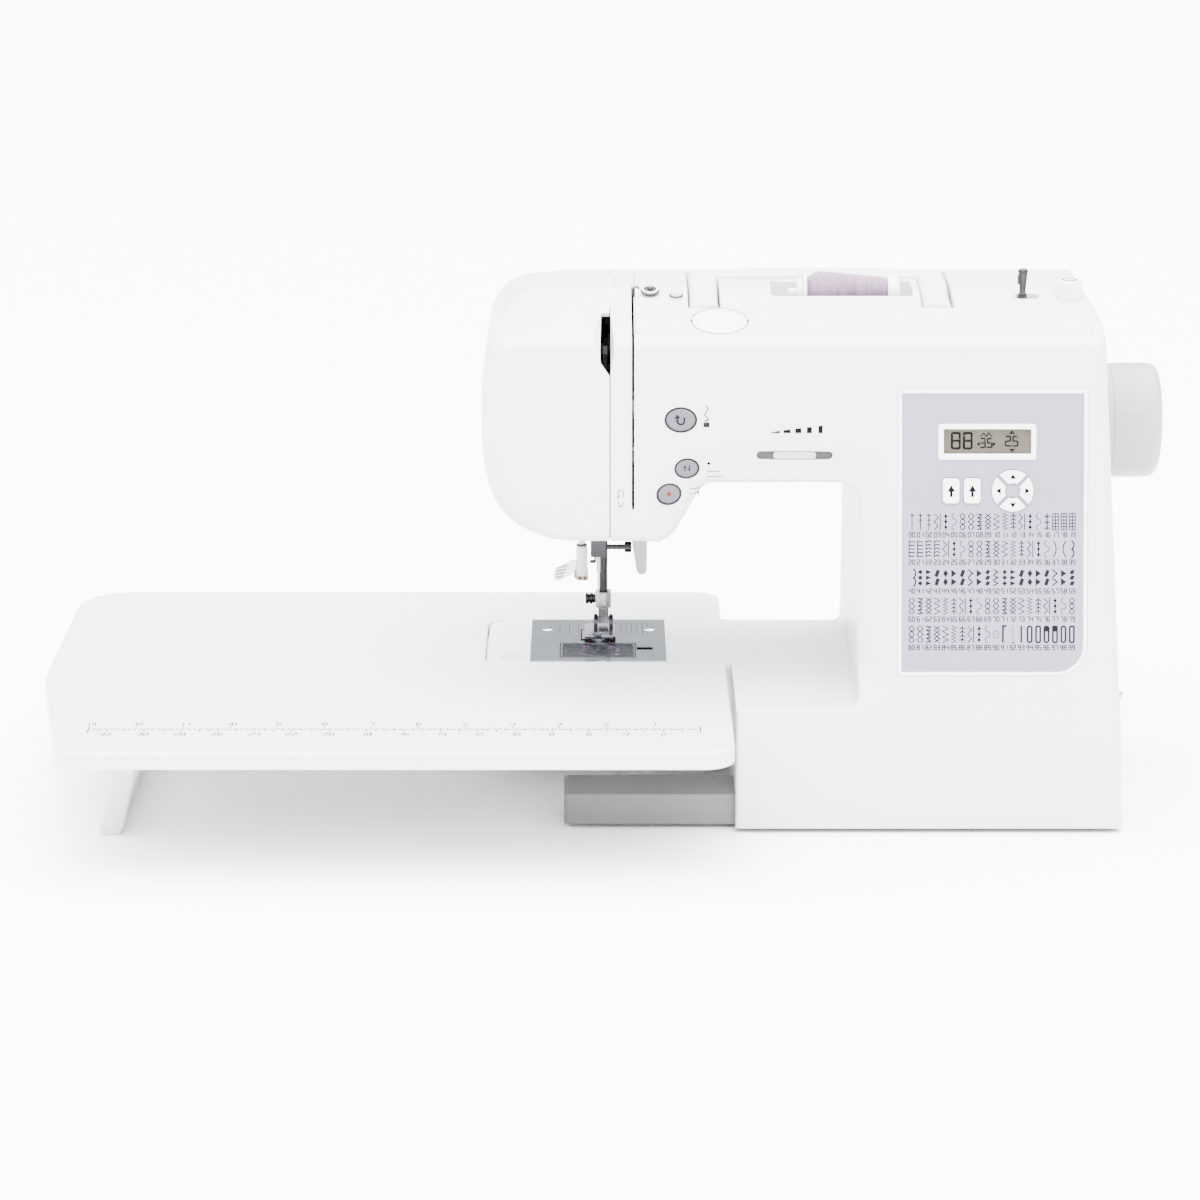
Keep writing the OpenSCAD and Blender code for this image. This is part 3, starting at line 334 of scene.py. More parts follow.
def rounded_profile(profile, r, steps=4):
    """Rounds the corners of a closed outline by up to r."""
    out = []
    n = len(profile)
    for i, p in enumerate(profile):
        a, b = profile[i - 1], profile[(i + 1) % n]
        p, a, b = map(np.array, (p, a, b))
        la, lb = np.linalg.norm(a - p), np.linalg.norm(b - p)
        cut = min(r, la * 0.45, lb * 0.45)
        s, e = p + (a - p) * cut / max(la, 1e-9), p + (b - p) * cut / max(lb, 1e-9)
        for k in range(steps + 1):
            t = k / steps
            out.append(tuple(s * (1 - t) ** 2 + 2 * p * t * (1 - t) + e * t * t))
    return out


def prism(outline, a, b, place):
    """A closed outline of (u, v) pushed from a to b; place(u, v, w) gives the point."""
    n = len(outline)
    points = [place(u, v, w) for w in (a, b) for u, v in outline]
    return points, [tuple(range(n))[::-1], tuple(range(n, 2 * n))] + ring_faces(1, n)


def cuboid(lo, hi):
    """A block between two corners, used inside larger pieces."""
    (a, b, c), (d, e, f) = lo, hi
    points = [(x, y, z) for z in (c, f) for x, y in ((a, b), (d, b), (d, e), (a, e))]
    return points, [(3, 2, 1, 0), (4, 5, 6, 7), (0, 1, 5, 4), (1, 2, 6, 5), (2, 3, 7, 6), (3, 0, 4, 7)]


def round_rect(x0, y0, x1, y1, r, n=6):
    out = []
    for cx, cy, a0 in ((x1 - r, y0 + r, -90), (x1 - r, y1 - r, 0), (x0 + r, y1 - r, 90), (x0 + r, y0 + r, 180)):
        for k in range(n + 1):
            a = math.radians(a0 + 90 * k / n)
            out.append((cx + r * math.cos(a), cy + r * math.sin(a)))
    return out


def oval(cx, cy, rx, ry, n=40):
    return [(cx + rx * math.cos(2 * math.pi * i / n), cy + ry * math.sin(2 * math.pi * i / n)) for i in range(n)]


def resample(line, step, closed=True):
    """Evenly spaced points along a line, keeping its sharp corners."""
    pts = [np.array(p, float) for p in line]
    if closed:
        pts.append(pts[0])
    out = []
    for a, b in zip(pts[:-1], pts[1:]):
        n = max(1, int(round(np.linalg.norm(b - a) / step)))
        out += [a + (b - a) * k / n for k in range(n)]
    if not closed:
        out.append(pts[-1])
    return np.array(out)


def distance_to(points, line, closed=True):
    """Distance of each point to a line, and the place along it (in points of the line)."""
    points = np.asarray(points, float)
    a = np.asarray(line, float)
    b = np.roll(a, -1, axis=0) if closed else a[1:]
    a = a if closed else a[:-1]
    best = np.full(len(points), 1e18)
    where = np.zeros(len(points))
    ab = b - a
    l2 = np.maximum((ab ** 2).sum(1), 1e-12)
    for s in range(0, len(points), 2000):
        p = points[s:s + 2000, None, :]
        t = np.clip(((p - a) * ab).sum(2) / l2, 0, 1)
        d = ((p - (a + t[..., None] * ab)) ** 2).sum(2)
        k = d.argmin(1)
        r = np.arange(len(k))
        best[s:s + 2000] = np.sqrt(d[r, k])
        where[s:s + 2000] = k + t[r, k]
    return best, where


def inside(points, line):
    """Whether each point is inside a closed line."""
    p = np.asarray(points, float)
    a = np.asarray(line, float)
    b = np.roll(a, -1, axis=0)
    res = np.zeros(len(p), bool)
    for (x0, y0), (x1, y1) in zip(a, b):
        if y0 == y1:
            continue
        cond = ((y0 > p[:, 1]) != (y1 > p[:, 1]))
        x = x0 + (p[:, 1] - y0) * (x1 - x0) / (y1 - y0)
        res ^= cond & (p[:, 0] < x)
    return res


def inset_rows(line, rows, keep=0.93):
    """Rows of points at set distances inside a closed line, without the ones that fold over."""
    line = np.asarray(line, float)
    nxt, prv = np.roll(line, -1, axis=0), np.roll(line, 1, axis=0)
    area = (line[:, 0] * nxt[:, 1] - nxt[:, 0] * line[:, 1]).sum()
    t = nxt - prv
    t /= np.maximum(np.linalg.norm(t, axis=1, keepdims=True), 1e-9)
    normal = np.stack([-t[:, 1], t[:, 0]], 1) * (1 if area > 0 else -1)
    out = []
    for d in rows:
        q = line + normal * d
        dist, _ = distance_to(q, line)
        q = q[(dist > d * keep) & inside(q, line)]
        last, row = None, []
        gap = max(0.5, d * 0.12)
        for p in q:
            if last is None or np.linalg.norm(p - last) > gap * 0.9:
                row.append(p)
                last = p
        out += row
    return np.array(out) if out else np.zeros((0, 2))


def fill(outline, points=(), holes=(), lines=()):
    """Triangles over an outline with holes; outline and holes keep their points and order."""
    verts, edges = [], []

    def loop(l, closed=True):
        k = len(verts)
        verts.extend([Vector((float(p[0]), float(p[1]))) for p in l])
        n = len(l)
        edges.extend([(k + i, k + (i + 1) % n) for i in range(n if closed else n - 1)])

    loop(outline)
    for h in holes:
        loop(h)
    for l in lines:
        loop(l, False)
    verts.extend([Vector((float(p[0]), float(p[1]))) for p in points])
    vs, _, fs, orig, _, _ = delaunay_2d_cdt(verts, edges, [], 0, 1e-5)
    vs = np.array([(v.x, v.y) for v in vs])
    fs = np.array([f for f in fs if len(f) == 3])
    centre = vs[fs].mean(1)
    ok = inside(centre, outline)
    for h in holes:
        ok &= ~inside(centre, h)
    return vs, [tuple(f) for f in fs[ok]]


# ---------------------------------------------------------------- outer skin of the machine

def arc(cx, cy, r, a0, a1, n):
    return [(cx + r * math.cos(math.radians(a0 + (a1 - a0) * i / n)),
             cy + r * math.sin(math.radians(a0 + (a1 - a0) * i / n))) for i in range(n + 1)]


def quarter(cx, cz, rx, rz, power, a0, a1, n):
    out = []
    for i in range(n + 1):
        a = math.radians(a0 + (a1 - a0) * i / n)
        c, s = math.cos(a), math.sin(a)
        out.append((cx + rx * math.copysign(abs(c) ** (2 / power), c),
                    cz + rz * math.copysign(abs(s) ** (2 / power), s)))
    return out


HEAD_TOP = quarter(-5, 224, 60, 61, 3.8, 90, 180, 48)
HEAD_LOW = quarter(-5, 224, 60, 64, 2.9, 184, 270, 44)
ARM_EDGE = ([(20, 160), (33, 160)]
            + [(35 + 26 * t, 160 + 30 * (3 - 2 * t) * t * t) for t in np.linspace(0.03, 0.97, 15)]
            + arc(131, 179, 11, 90, 0, 10)
            + arc(137, 77, 5, 0, -90, 5))
OUTLINE = (HEAD_TOP + HEAD_LOW + ARM_EDGE
           + [(75, 72), (75, 2.5), (289, 2.5)]
           + arc(262, 270, 15, 2, 90, 14))
OUTLINE = resample(OUTLINE, 2.6)

EDGE_R = 12.0
_n1 = np.array([math.cos(LEAN_ANGLE), -math.sin(LEAN_ANGLE)])
_s = math.atan(SLOPE_RATE)
_n2 = np.array([math.sin(_s), -math.cos(_s)])
EDGE_C = np.linalg.solve(np.array([_n1, _n2]),
                         [EDGE_R + np.dot([0, BED], _n1), EDGE_R + np.dot([SLOPE_Y0, SLOPE_Z0], _n2)])
EDGE_Z0 = (EDGE_C - EDGE_R * _n1)[1]
EDGE_Z1 = (EDGE_C - EDGE_R * _n2)[1]


def front_base(z):
    """Front of the body at a height: upright base, leaning face, rounded edge, top slope."""
    z = np.asarray(z, float)
    w = 9.0
    plane = np.where(z < BED - w, 0, np.where(z > BED + w, LEAN * (z - BED), LEAN * (z - BED + w) ** 2 / (4 * w)))
    bend = EDGE_C[0] - np.sqrt(np.maximum(EDGE_R ** 2 - (z - EDGE_C[1]) ** 2, 0))
    slope = SLOPE_Y0 + (z - SLOPE_Z0) / SLOPE_RATE
    return np.where(z < EDGE_Z0, plane, np.where(z < EDGE_Z1, bend, slope))


# The band round the opening under the arm, which steps back from the front face.
BAND_EDGE = [(34, 160), (30.4, 165), (28.3, 172), (27.2, 181), (29.5, 190.5), (35.6, 199.4), (44, 206),
             (54.7, 211.1), (70, 214.8), (87.5, 216.4), (112, 215.4), (136.7, 212.7), (149, 211), (155.6, 206.5),
             (158.8, 199.4), (159.6, 182), (160.7, 100), (160.2, 84), (156, 74.5), (148, 70.8), (138, 72)]
_harp = [p for p in OUTLINE if 33.9 < p[0] < 142.1 and 71.9 < p[1] < 190.1 and (p[1] > 72.1 or p[0] > 137.5)]
HARP_EDGE = np.array([(34, 160)] + [tuple(p) for p in _harp] + [(138, 72)])
BAND_EDGE = resample(BAND_EDGE, 2.0, closed=False)
BAND = np.array(list(HARP_EDGE) + list(BAND_EDGE[::-1][1:-1]))


def band_depth(x, z):
    """How far the band round the arm's opening steps back at a place on the front."""
    q = np.stack([np.atleast_1d(x), np.atleast_1d(z)], 1).astype(float)
    d_in, _ = distance_to(q, HARP_EDGE, False)
    d_out, _ = distance_to(q, BAND_EDGE, False)
    t = d_out / np.maximum(d_in + d_out, 1e-6)
    t = np.sqrt(t * t + 0.0025) - 0.05 + 0.05 * t
    depth = 8.0 + 3.5 * smooth((q[:, 0] - 120) / 25)
    depth = depth * smooth((q[:, 1] - 68) / 26)
    return np.where(inside(q, BAND) | (d_in < 0.02), depth * t, 0.0)


def edge_radius(p):
    """Rounding of the front edge where the outline passes p."""
    x, z = p
    if z < 4:
        return 0.7
    if x < 74 and z < 150 or x < 76 and z < 73:
        return 2.2
    if z < 73:
        return 3.0
    if abs(x - 142) < 14 and z < 192 and x < 143:
        return 3.0
    if z > 284.4 and -25 < x < 262:
        return 1.2
    if x > 250:
        return 6.0
    if x < -30:
        return 13.0
    if z < 191:
        return 5.0 if x > 30 else 8.0
    return 10.0 if x < -5 else 3.0


def field_radii():
    """The edge radius at each point of the outline, eased from one to the next."""
    r = np.array([edge_radius(p) for p in OUTLINE])
    for _ in range(3):
        r = np.where(r < 1, r, (np.roll(r, 1) + r + np.roll(r, -1)) / 3)
    return r


def rounding(points, radii):
    """How far the rounded outer edge falls away at each point."""
    d, where = distance_to(points, OUTLINE)
    k = np.floor(where).astype(int) % len(OUTLINE)
    f = where - np.floor(where)
    r = radii[k] * (1 - f) + radii[(k + 1) % len(OUTLINE)] * f
    return edge_drop(d, r)


FRONT_R = field_radii()
ROWS = [0.12, 0.32, 0.6, 1.0, 1.5, 2.1, 2.9, 3.8, 5, 6.4, 8, 9.8, 11.6, 13.2]


def front_y(points):
    points = np.asarray(points, float)
    return front_base(points[:, 1]) + band_depth(points[:, 0], points[:, 1]) + rounding(points, FRONT_R)


def rear_y(points):
    points = np.asarray(points, float)
    z = points[:, 1]
    top = np.where(z > 271, 164 + np.sqrt(np.maximum(196 - (z - 271) ** 2, 0)), BODY_D)
    return top - rounding(points, np.minimum(FRONT_R, 9.0))


def on_face(x, z, depth=0.0, up=0.0, side=0.0):
    """A point at the sloping front face: depth goes in, square to the face."""
    return (x + side, face_y(z) + depth * math.cos(LEAN_ANGLE) + up * math.sin(LEAN_ANGLE),
            z - depth * math.sin(LEAN_ANGLE) + up * math.cos(LEAN_ANGLE))


BUTTONS = {"reverse_button": (44.2, 226, 8.2, 6.2), "needle_button": (47.6, 199.7, 6.2, 5.2),
           "start_button": (37.8, 185.9, 6.2, 5.4)}
PANEL_X, PANEL_Z, PANEL_W, PANEL_L = 215.0, 166.0, 104.0, 157.0
SLIDER_X, SLIDER_Z = 106.6, 206.6
COS = math.cos(LEAN_ANGLE)


def panel_outline(grow, n=10):
    """The control panel's outline in its own plane, about its centre."""
    w, l = PANEL_W / 2 + grow, PANEL_L / 2 + grow
    r = 17 + grow
    return ([(-w + 0.8, -l)] + arc(w - r, -l + r, r, -90, 0, n)
            + [(w, l - 0.8), (w - 0.8, l), (-w + 0.8, l), (-w, l - 0.8), (-w, -l + 0.8)])


def in_front_view(outline, cx, cz):
    return [(cx + u, cz + v * COS) for u, v in outline]


TAKE_UP_SLOT = [(5.5, 276.6), (0.6, 276.6), (0.1, 262), (0.3, 256.2), (5.2, 249.4), (5.5, 249.2)]
front_holes = [in_front_view(oval(0, 0, b[2] + 0.35, b[3] + 0.35), b[0], b[1]) for b in BUTTONS.values()]
front_holes.append(in_front_view(round_rect(-20.9, -2.5, 20.9, 2.5, 2.45), SLIDER_X, SLIDER_Z))
front_holes.append(in_front_view([tuple(p) for p in resample(panel_outline(0.15), 4)], PANEL_X, PANEL_Z))
front_holes.append(TAKE_UP_SLOT)
front_holes.append(in_front_view(oval(0, 0, 0.9, 0.9, 16), 59.6, 202.1))


def grid(x0, x1, z0, z1, sx, sz):
    """Points spread evenly over a rectangle."""
    xs = np.linspace(x0, x1, max(2, int((x1 - x0) / sx)))
    zs = np.linspace(z0, z1, max(2, int((z1 - z0) / sz)))
    return np.array([(x, z) for z in zs for x in xs])


def clear_of(points, loops, gap):
    """The points outside the loops and further than gap from them."""
    for l in loops:
        d, _ = distance_to(points, l)
        points = points[(d > gap) & ~inside(points, l)]
    return points


def skin():
    """Front, rear and side surfaces of the whole machine as one closed mesh, in millimetres."""
    rows = inset_rows(OUTLINE, ROWS)
    body = grid(-66, 290, 3, 285, 6, 6)
    bend = grid(-60, 276, 256, 274, 4, 0.8)
    band = grid(24, 164, 66, 220, 2.0, 2.0)
    band = band[inside(band, BAND)]
    d, _ = distance_to(body, OUTLINE)
    body = body[inside(body, OUTLINE) & (d > 14.5)]
    body = body[~inside(body, BAND)]
    bend = bend[inside(bend, OUTLINE) & (distance_to(bend, OUTLINE)[0] > 13.6)]
    band = band[inside(band, OUTLINE) & (distance_to(band, OUTLINE)[0] > 0.9)]
    d, _ = distance_to(rows, BAND_EDGE, False)
    rows_front = rows[~(inside(rows, BAND) & (distance_to(rows, OUTLINE)[0] > 5.2)) & (d > 0.35)]
    points = np.vstack([rows_front, body, bend, band[distance_to(band, BAND_EDGE, False)[0] > 0.8]])
    points = clear_of(points, front_holes, 0.45)
    vf, ff = fill(OUTLINE, points, front_holes, [BAND_EDGE[1:-1]])
    n = len(OUTLINE)
    front = [(p[0], y, p[1]) for p, y in zip(vf, front_y(vf))]
    rear_points = np.vstack([rows, body, grid(-45, 262, 271, 284, 5, 1.0)])
    rear_points = rear_points[inside(rear_points, OUTLINE)]
    vr, fr = fill(OUTLINE, rear_points)
    rear = [(p[0], y, p[1]) for p, y in zip(vr, rear_y(vr))]
    parts = [(front, ff), (rear, [f[::-1] for f in fr])]
    # sides
    yf, yr = front_y(OUTLINE), rear_y(OUTLINE)
    steps = np.array([0, .06, .14, .24, .36, .5, .64, .76, .88, 1.0])
    pts = [(p[0], a + (b - a) * t, p[1]) for p, a, b in zip(OUTLINE, yf, yr) for t in steps]
    m = len(steps)
    fs = [(i * m + k, ((i + 1) % n) * m + k, ((i + 1) % n) * m + k + 1, i * m + k + 1)
          for i in range(n) for k in range(m - 1)]
    parts.append((pts, fs))
    return join_parts(parts)


def cut_skin(points, faces, planes):
    """The skin as a bmesh, cut along the planes of the joint lines."""
    bm = bmesh.new()
    vs = [bm.verts.new(p) for p in points]
    for f in faces:
        if len(set(f)) == len(f):
            try:
                bm.faces.new([vs[i] for i in f])
            except ValueError:
                pass
    bmesh.ops.remove_doubles(bm, verts=bm.verts, dist=0.004)
    bmesh.ops.recalc_face_normals(bm, faces=bm.faces)
    for co, no in planes:
        bmesh.ops.bisect_plane(bm, geom=bm.verts[:] + bm.edges[:] + bm.faces[:], dist=1e-4,
                               plane_co=co, plane_no=no)
    return bm


def piece_from(bm, keep, name, body, thick, material, nodes):
    """The faces of the skin that keep() picks, made solid towards the inside."""
    used, points, faces = {}, [], []
    for f in bm.faces:
        c = f.calc_center_median()
        if not keep(c.x, c.y, c.z):
            continue
        ids = []
        for v in f.verts:
            if v.index not in used:
                used[v.index] = len(points)
                points.append(tuple(v.co))
            ids.append(used[v.index])
        faces.append(ids)
    mesh = bpy.data.meshes.new(name)
    mesh.from_pydata([at_frame(p) for p in points], [], faces)
    return solid_from(mesh, name, body, thick, material, nodes)


def bake(obj, angle=35):
    """Applies the object's modifiers."""
    dg = bpy.context.evaluated_depsgraph_get()
    dg.update()
    mesh = bpy.data.meshes.new_from_object(obj.evaluated_get(dg))
    obj.modifiers.clear()
    old = obj.data
    obj.data = mesh
    bpy.data.meshes.remove(old)
    shade(obj.data, angle)


def solid_from(mesh, name, body, thick, material, nodes=()):
    """A sheet given its wall thickness, riding on a body."""
    obj = bpy.data.objects.new(name, mesh)
    bpy.context.scene.collection.objects.link(obj)
    mesh.materials.append(MAT[material])
    s = obj.modifiers.new("thickness", "SOLIDIFY")
    s.thickness = thick / 1000
    s.offset = -1
    s.use_even_offset = False
    bake(obj, 32)
    flat_normals(obj)
    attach(obj, body)
    if nodes:
        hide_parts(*nodes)
    return obj


G = 0.12          # half of a visible joint line
TOP_X0, TOP_X1, TOP_Y0, TOP_Y1 = 19.5, 270.0, 56.0, 164.0
FACE_G = 0.32     # half of the face cover's joint line
SLOT_X0, SLOT_X1, SLOT_Z = 17.4, 18.8, 178.4              # threading slot in the front cover
PASS_X0, PASS_X1, PASS_Y0, PASS_Y1, PASS_Z = -34, 32, 118, 174, 150   # needle and presser opening
ARM_X, ARM_Y, ARM_Z = 75, 83.6, 21.6                      # free arm's opening in the body's side
FOOT_SLOTS, FOOT_Z = ((7.6, 42.4), (139.6, 170.4)), 20.4  # openings for the base's two bars
INLET_Y0, INLET_Y1, INLET_Z0, INLET_Z1 = 103.6, 160.4, 17.6, 58.4     # power inlet, right side


def cut_planes(axis, places, gap=0.0):
    """Planes square to an axis at each place, or a pair of them gap to either side of it."""
    planes = []
    for place in places:
        for shift in ((-gap, gap) if gap else (0,)):
            point, normal = [0, 0, 0], [0, 0, 0]
            point[axis], normal[axis] = place + shift, 1
            planes.append((point, normal))
    return planes


planes = cut_planes(0, [FACE_X], FACE_G) + cut_planes(1, [SPLIT_Y], G)
planes += cut_planes(0, [TOP_X0, TOP_X1], G) + cut_planes(1, [TOP_Y0, TOP_Y1], G)
planes += cut_planes(0, [SLOT_X0, SLOT_X1]) + cut_planes(2, [SLOT_Z, PASS_Z])
planes += cut_planes(0, [PASS_X0, PASS_X1]) + cut_planes(1, [PASS_Y0, PASS_Y1])
planes += cut_planes(1, [ARM_Y]) + cut_planes(2, [ARM_Z])
planes += cut_planes(1, [y for pair in FOOT_SLOTS for y in pair]) + cut_planes(2, [FOOT_Z])
planes += cut_planes(1, [INLET_Y0, INLET_Y1]) + cut_planes(2, [INLET_Z0, INLET_Z1])

body = cut_skin(*skin(), planes)
body.verts.index_update()


def in_top(x, y, z, g=0.0):
    return z > 224 and TOP_X0 - g < x < TOP_X1 + g and TOP_Y0 - g < y < TOP_Y1 + g


def in_passage(x, y, z):
    return PASS_X0 < x < PASS_X1 and PASS_Y0 < y < PASS_Y1 and 100 < z < PASS_Z + 11


def in_free_arm(x, y, z):
    if abs(x - ARM_X) > 0.3 or z > BED:
        return False
    return (y > ARM_Y and z > ARM_Z) or (z < FOOT_Z and any(a < y < b for a, b in FOOT_SLOTS))


def in_inlet(x, y, z):
    return x > 280 and INLET_Y0 < y < INLET_Y1 and INLET_Z0 < z < INLET_Z1


def in_slot(x, y, z):
    return SLOT_X0 < x < SLOT_X1 and z > SLOT_Z and y < SPLIT_Y


def rest(x, y, z):
    return not (in_top(x, y, z, G) or in_passage(x, y, z) or in_free_arm(x, y, z) or in_inlet(x, y, z))


def is_head(x, z):
    return x < FACE_X + FACE_G and z > PASS_Z


def in_front(x, y, z):
    return not is_head(x, z) and y < SPLIT_Y - G and rest(x, y, z) and not in_slot(x, y, z) and z > 2.6


def in_rear(x, y, z):
    return not is_head(x, z) and y > SPLIT_Y + G and rest(x, y, z) and z > 2.6


def in_face(x, y, z):
    return x < FACE_X - FACE_G and z > PASS_Z and not in_passage(x, y, z)


piece_from(body, in_front, "front_shell", "machine", 2.2, "shell", ["front_cover"])
piece_from(body, in_rear, "rear_shell", "machine", 2.2, "shell", ["rear_cover"])
piece_from(body, in_face, "face_shell", "face_door", 2.0, "shell", ["face_cover"])
body.free()


# ---------------------------------------------------------------- top cover, handle and top fittings

def on_slope(x, y, up=0.0, u=0.0, v=0.0):
    """A point on the top slope at (x, y): u to the right, v up the slope, up off it."""
    s = math.atan(SLOPE_RATE) if y < 112 else 0.0
    return (x + u, y + v * math.cos(s) - up * math.sin(s), top_z(y) + v * math.sin(s) + up * math.cos(s))


def top_height(points):
    """Height of the top surface, with the two slopes eased into each other."""
    y = np.asarray(points, float)[:, 1]
    w = 4.0
    t = (y - (112 - w)) / (2 * w)
    line = SLOPE_Z0 + SLOPE_RATE * (y - SLOPE_Y0)
    eased = top_z(112 - w) + SLOPE_RATE * 2 * w * (t - t * t / 2)
    return np.where(y < 112 - w, line, np.where(y > 112 + w, BODY_H, np.minimum(eased, BODY_H)))


HX, HW, HA = 50.0, 146.0, 16.0
SPOOL_X, SPOOL_Y, SPOOL_Z = 116.0, 118.0, 281.0
DIAL_X, DIAL_Y, DIAL_R = 66.0, 71.0, 15.5
WIND_X, WIND_Y = 236.0, 101.0
HANDLE_WELL = [(HX - 1, 87.5), (HX + HA + 1, 87.5), (HX + HA + 1, 136), (HX + HW - HA - 1, 136),
               (HX + HW - HA - 1, 87.5), (HX + HW + 1, 87.5), (HX + HW + 1, 159), (HX - 1, 159)]
SPOOL_WELL = round_rect(SPOOL_X - 20, SPOOL_Y - 16, SPOOL_X + 59, SPOOL_Y + 15.6, 3)
DIAL_HOLE = [(DIAL_X + DIAL_R * 1.02 * math.cos(t), DIAL_Y + DIAL_R * 1.02 * math.sin(t) * 0.967)
             for t in np.linspace(0, 2 * math.pi, 57)[:-1]]
WIND_SLOT = round_rect(WIND_X - 4, WIND_Y - 3.1, WIND_X + 9, WIND_Y + 3.1, 3)
STOP_HOLE = oval(WIND_X + 26, WIND_Y, 7.3, 7.3, 40)


def top_cover():
    outline = [tuple(p) for p in resample(round_rect(TOP_X0 + G, TOP_Y0 + G, TOP_X1 - G, TOP_Y1 - G, 0.6, 2), 3)]
    wells = [(resample(HANDLE_WELL, 3), 267.5, 0.8), (resample(SPOOL_WELL, 3), 265.5, 1.2),
             (np.array(DIAL_HOLE), None, 0.3), (resample(WIND_SLOT, 2), None, 0.3), (np.array(STOP_HOLE), None, 0.3)]
    holes = [w[0] for w in wells]
    rows = inset_rows(outline, [0.3, 0.8, 1.6])
    body = grid(21, 268, 58, 162, 4, 3)
    bend = grid(21, 268, 107, 117, 4, 1)
    rims = np.vstack([outline_row(h, g) for h, _, r in wells for g in (r * 0.2, r * 0.5, r, r * 1.6 + 0.3)])
    points = clear_of(np.vstack([rows, body, bend]), holes, 1.9)
    rims = np.array([p for p in rims if 20 < p[0] < 269.5 and 56.5 < p[1] < 163.5])
    vs, fs = fill(outline, np.vstack([points, clear_of(rims, holes, 0.1)]), holes)
    z = top_height(vs)
    for h, _, r in wells:
        z = z - edge_drop(distance_to(vs, h)[0], r)
    parts = [(lifted(vs, z), fs)]
    for h, floor_z, r in wells:
        top = top_height(h) - r
        n = len(h)
        if floor_z:
            # a closed well: its wall, a small fillet and its floor
            floor_line = inset_loop(h, 1.2)
            wall = [lifted(h, top + (floor_z + 2 - top) * t) for t in (0, 0.5, 1)]
            wall += [lifted(inset_loop(h, 0.5), floor_z + 0.6), lifted(floor_line, floor_z)]
            parts.append(([p for ring in wall for p in ring], ring_faces(4, n)))
            v2, f2 = fill(floor_line)
            parts.append((lifted(v2, floor_z), f2))
        else:
            depth = 8.0 if n > 50 else 5.0
            parts.append((lifted(h, top) + lifted(h, top - depth), ring_faces(1, n)))
    solid_from(sheet("top_shell", parts), "top_shell", "machine", 1.8, "shell", ["top_cover"])


def inset_loop(line, d):
    """Each point of a closed loop moved inside by d, in the same order."""
    line = np.asarray(line, float)
    nxt, prv = np.roll(line, -1, axis=0), np.roll(line, 1, axis=0)
    area = (line[:, 0] * nxt[:, 1] - nxt[:, 0] * line[:, 1]).sum()
    a, b = nxt - line, line - prv
    a /= np.linalg.norm(a, axis=1, keepdims=True)
    b /= np.linalg.norm(b, axis=1, keepdims=True)
    t = a + b
    t /= np.maximum(np.linalg.norm(t, axis=1, keepdims=True), 1e-9)
    s = 1 / np.maximum((t * a).sum(1), 0.5)
    normal = np.stack([-t[:, 1], t[:, 0]], 1) * (1 if area > 0 else -1)
    return line + normal * d * s[:, None]


def outline_row(line, d):
    """Each point of a closed loop moved outside by d."""
    return inset_loop(line, -d)


top_cover()


def handle():
    """Fold-down handle: two arms and a crowned grip, all one moulding."""
    r = 3.2
    under = 272.0
    # plan outline of the U, crowned over its width
    plan = [(HX, 92), (HX + HA, 92), (HX + HA, 138.4), (HX + HW - HA, 138.4), (HX + HW - HA, 92), (HX + HW, 92),
            (HX + HW, 152), (HX + HW - 6, 158), (HX + 6, 158), (HX, 152)]
    plan = resample(plan, 2.5)
    rows = inset_rows(plan, [0.25, 0.6, 1.1, 1.7, 2.4, 3.2, 4.5, 6.0, 7.4])
    vs, fs = fill(plan, rows)
    d, _ = distance_to(vs, plan)

    def top(v, dist):
        y = v[:, 1]
        crown = 1.6 * (1 - ((v[:, 0] - HX - HW / 2) / (HW / 2)) ** 2)
        base = np.where(y < 138, 279.6 + (286.2 - 279.6) * smooth((y - 96) / 40), 286.2)
        return base + crown - edge_drop(dist, r)

    m = len(plan)
    side = lifted(plan, top(plan, np.zeros(m))) + lifted(plan, under + 0.6)
    points, faces = join_parts([(lifted(vs, top(vs, d)), fs),
                                (lifted(vs, under + 0.6 * np.maximum(0, 1 - d / 1.5)), [f[::-1] for f in fs]),
                                (side, ring_faces(1, m))])
    add("carry_handle_grip", points, faces, "handle", "shell2", ["carry_handle"], "shell_white")


handle()


def dial():
    """Tension dial: a wheel with a knurled rim lying in the slope."""
    n = 120
    prof = [(0.0, 1.7), (9.6, 1.7), (10.6, 1.5), (12.6, 0.9), (14.1, 0.5)]
    rings = [([r] * n, h) for r, h in prof]
    for h, grow in ((0.1, 0.0), (-0.4, 0.3), (-7.2, 0.3), (-7.7, 0.0)):
        rings.append(([15.0 + grow + (0.22 if i % 4 < 2 else -0.1) for i in range(n)], h))
    rings.append(([0] * n, -7.7))
    points = []
    for radii, h in rings:
        points += [on_slope(DIAL_X, DIAL_Y, h, r * math.cos(2 * math.pi * i / n), r * math.sin(2 * math.pi * i / n))
                   for i, r in enumerate(radii)]
    faces = ring_faces(len(rings) - 1, n)
    add("tension_wheel", points, faces, "tension", "key", ["tension_dial"], "shell_white", 30)
    # ten ticks for the settings
    parts = []
    r0, r1, w = 11.3, 13.4, 0.16
    for k in range(10):
        a = math.radians(200 + k * 32)
        u = np.array([math.cos(a), math.sin(a)])
        t = np.array([-u[1], u[0]])
        quad = [u * r0 - t * w, u * r1 - t * w, u * r1 + t * w, u * r0 + t * w]
        pts = []
        for q, r in zip(quad, (r0, r1, r1, r0)):
            h = 1.5 + (r - 10.6) / 2.0 * -0.6 if r < 12.6 else 0.9 - (r - 12.6) / 1.5 * 0.4
            pts.append(on_slope(DIAL_X, DIAL_Y, h + 0.05, q[0], q[1]))
        parts.append((pts, [(0, 1, 2, 3)]))
    add("tension_marks", *join_parts(parts), "tension", "ink_grey", tidy=False)


dial()


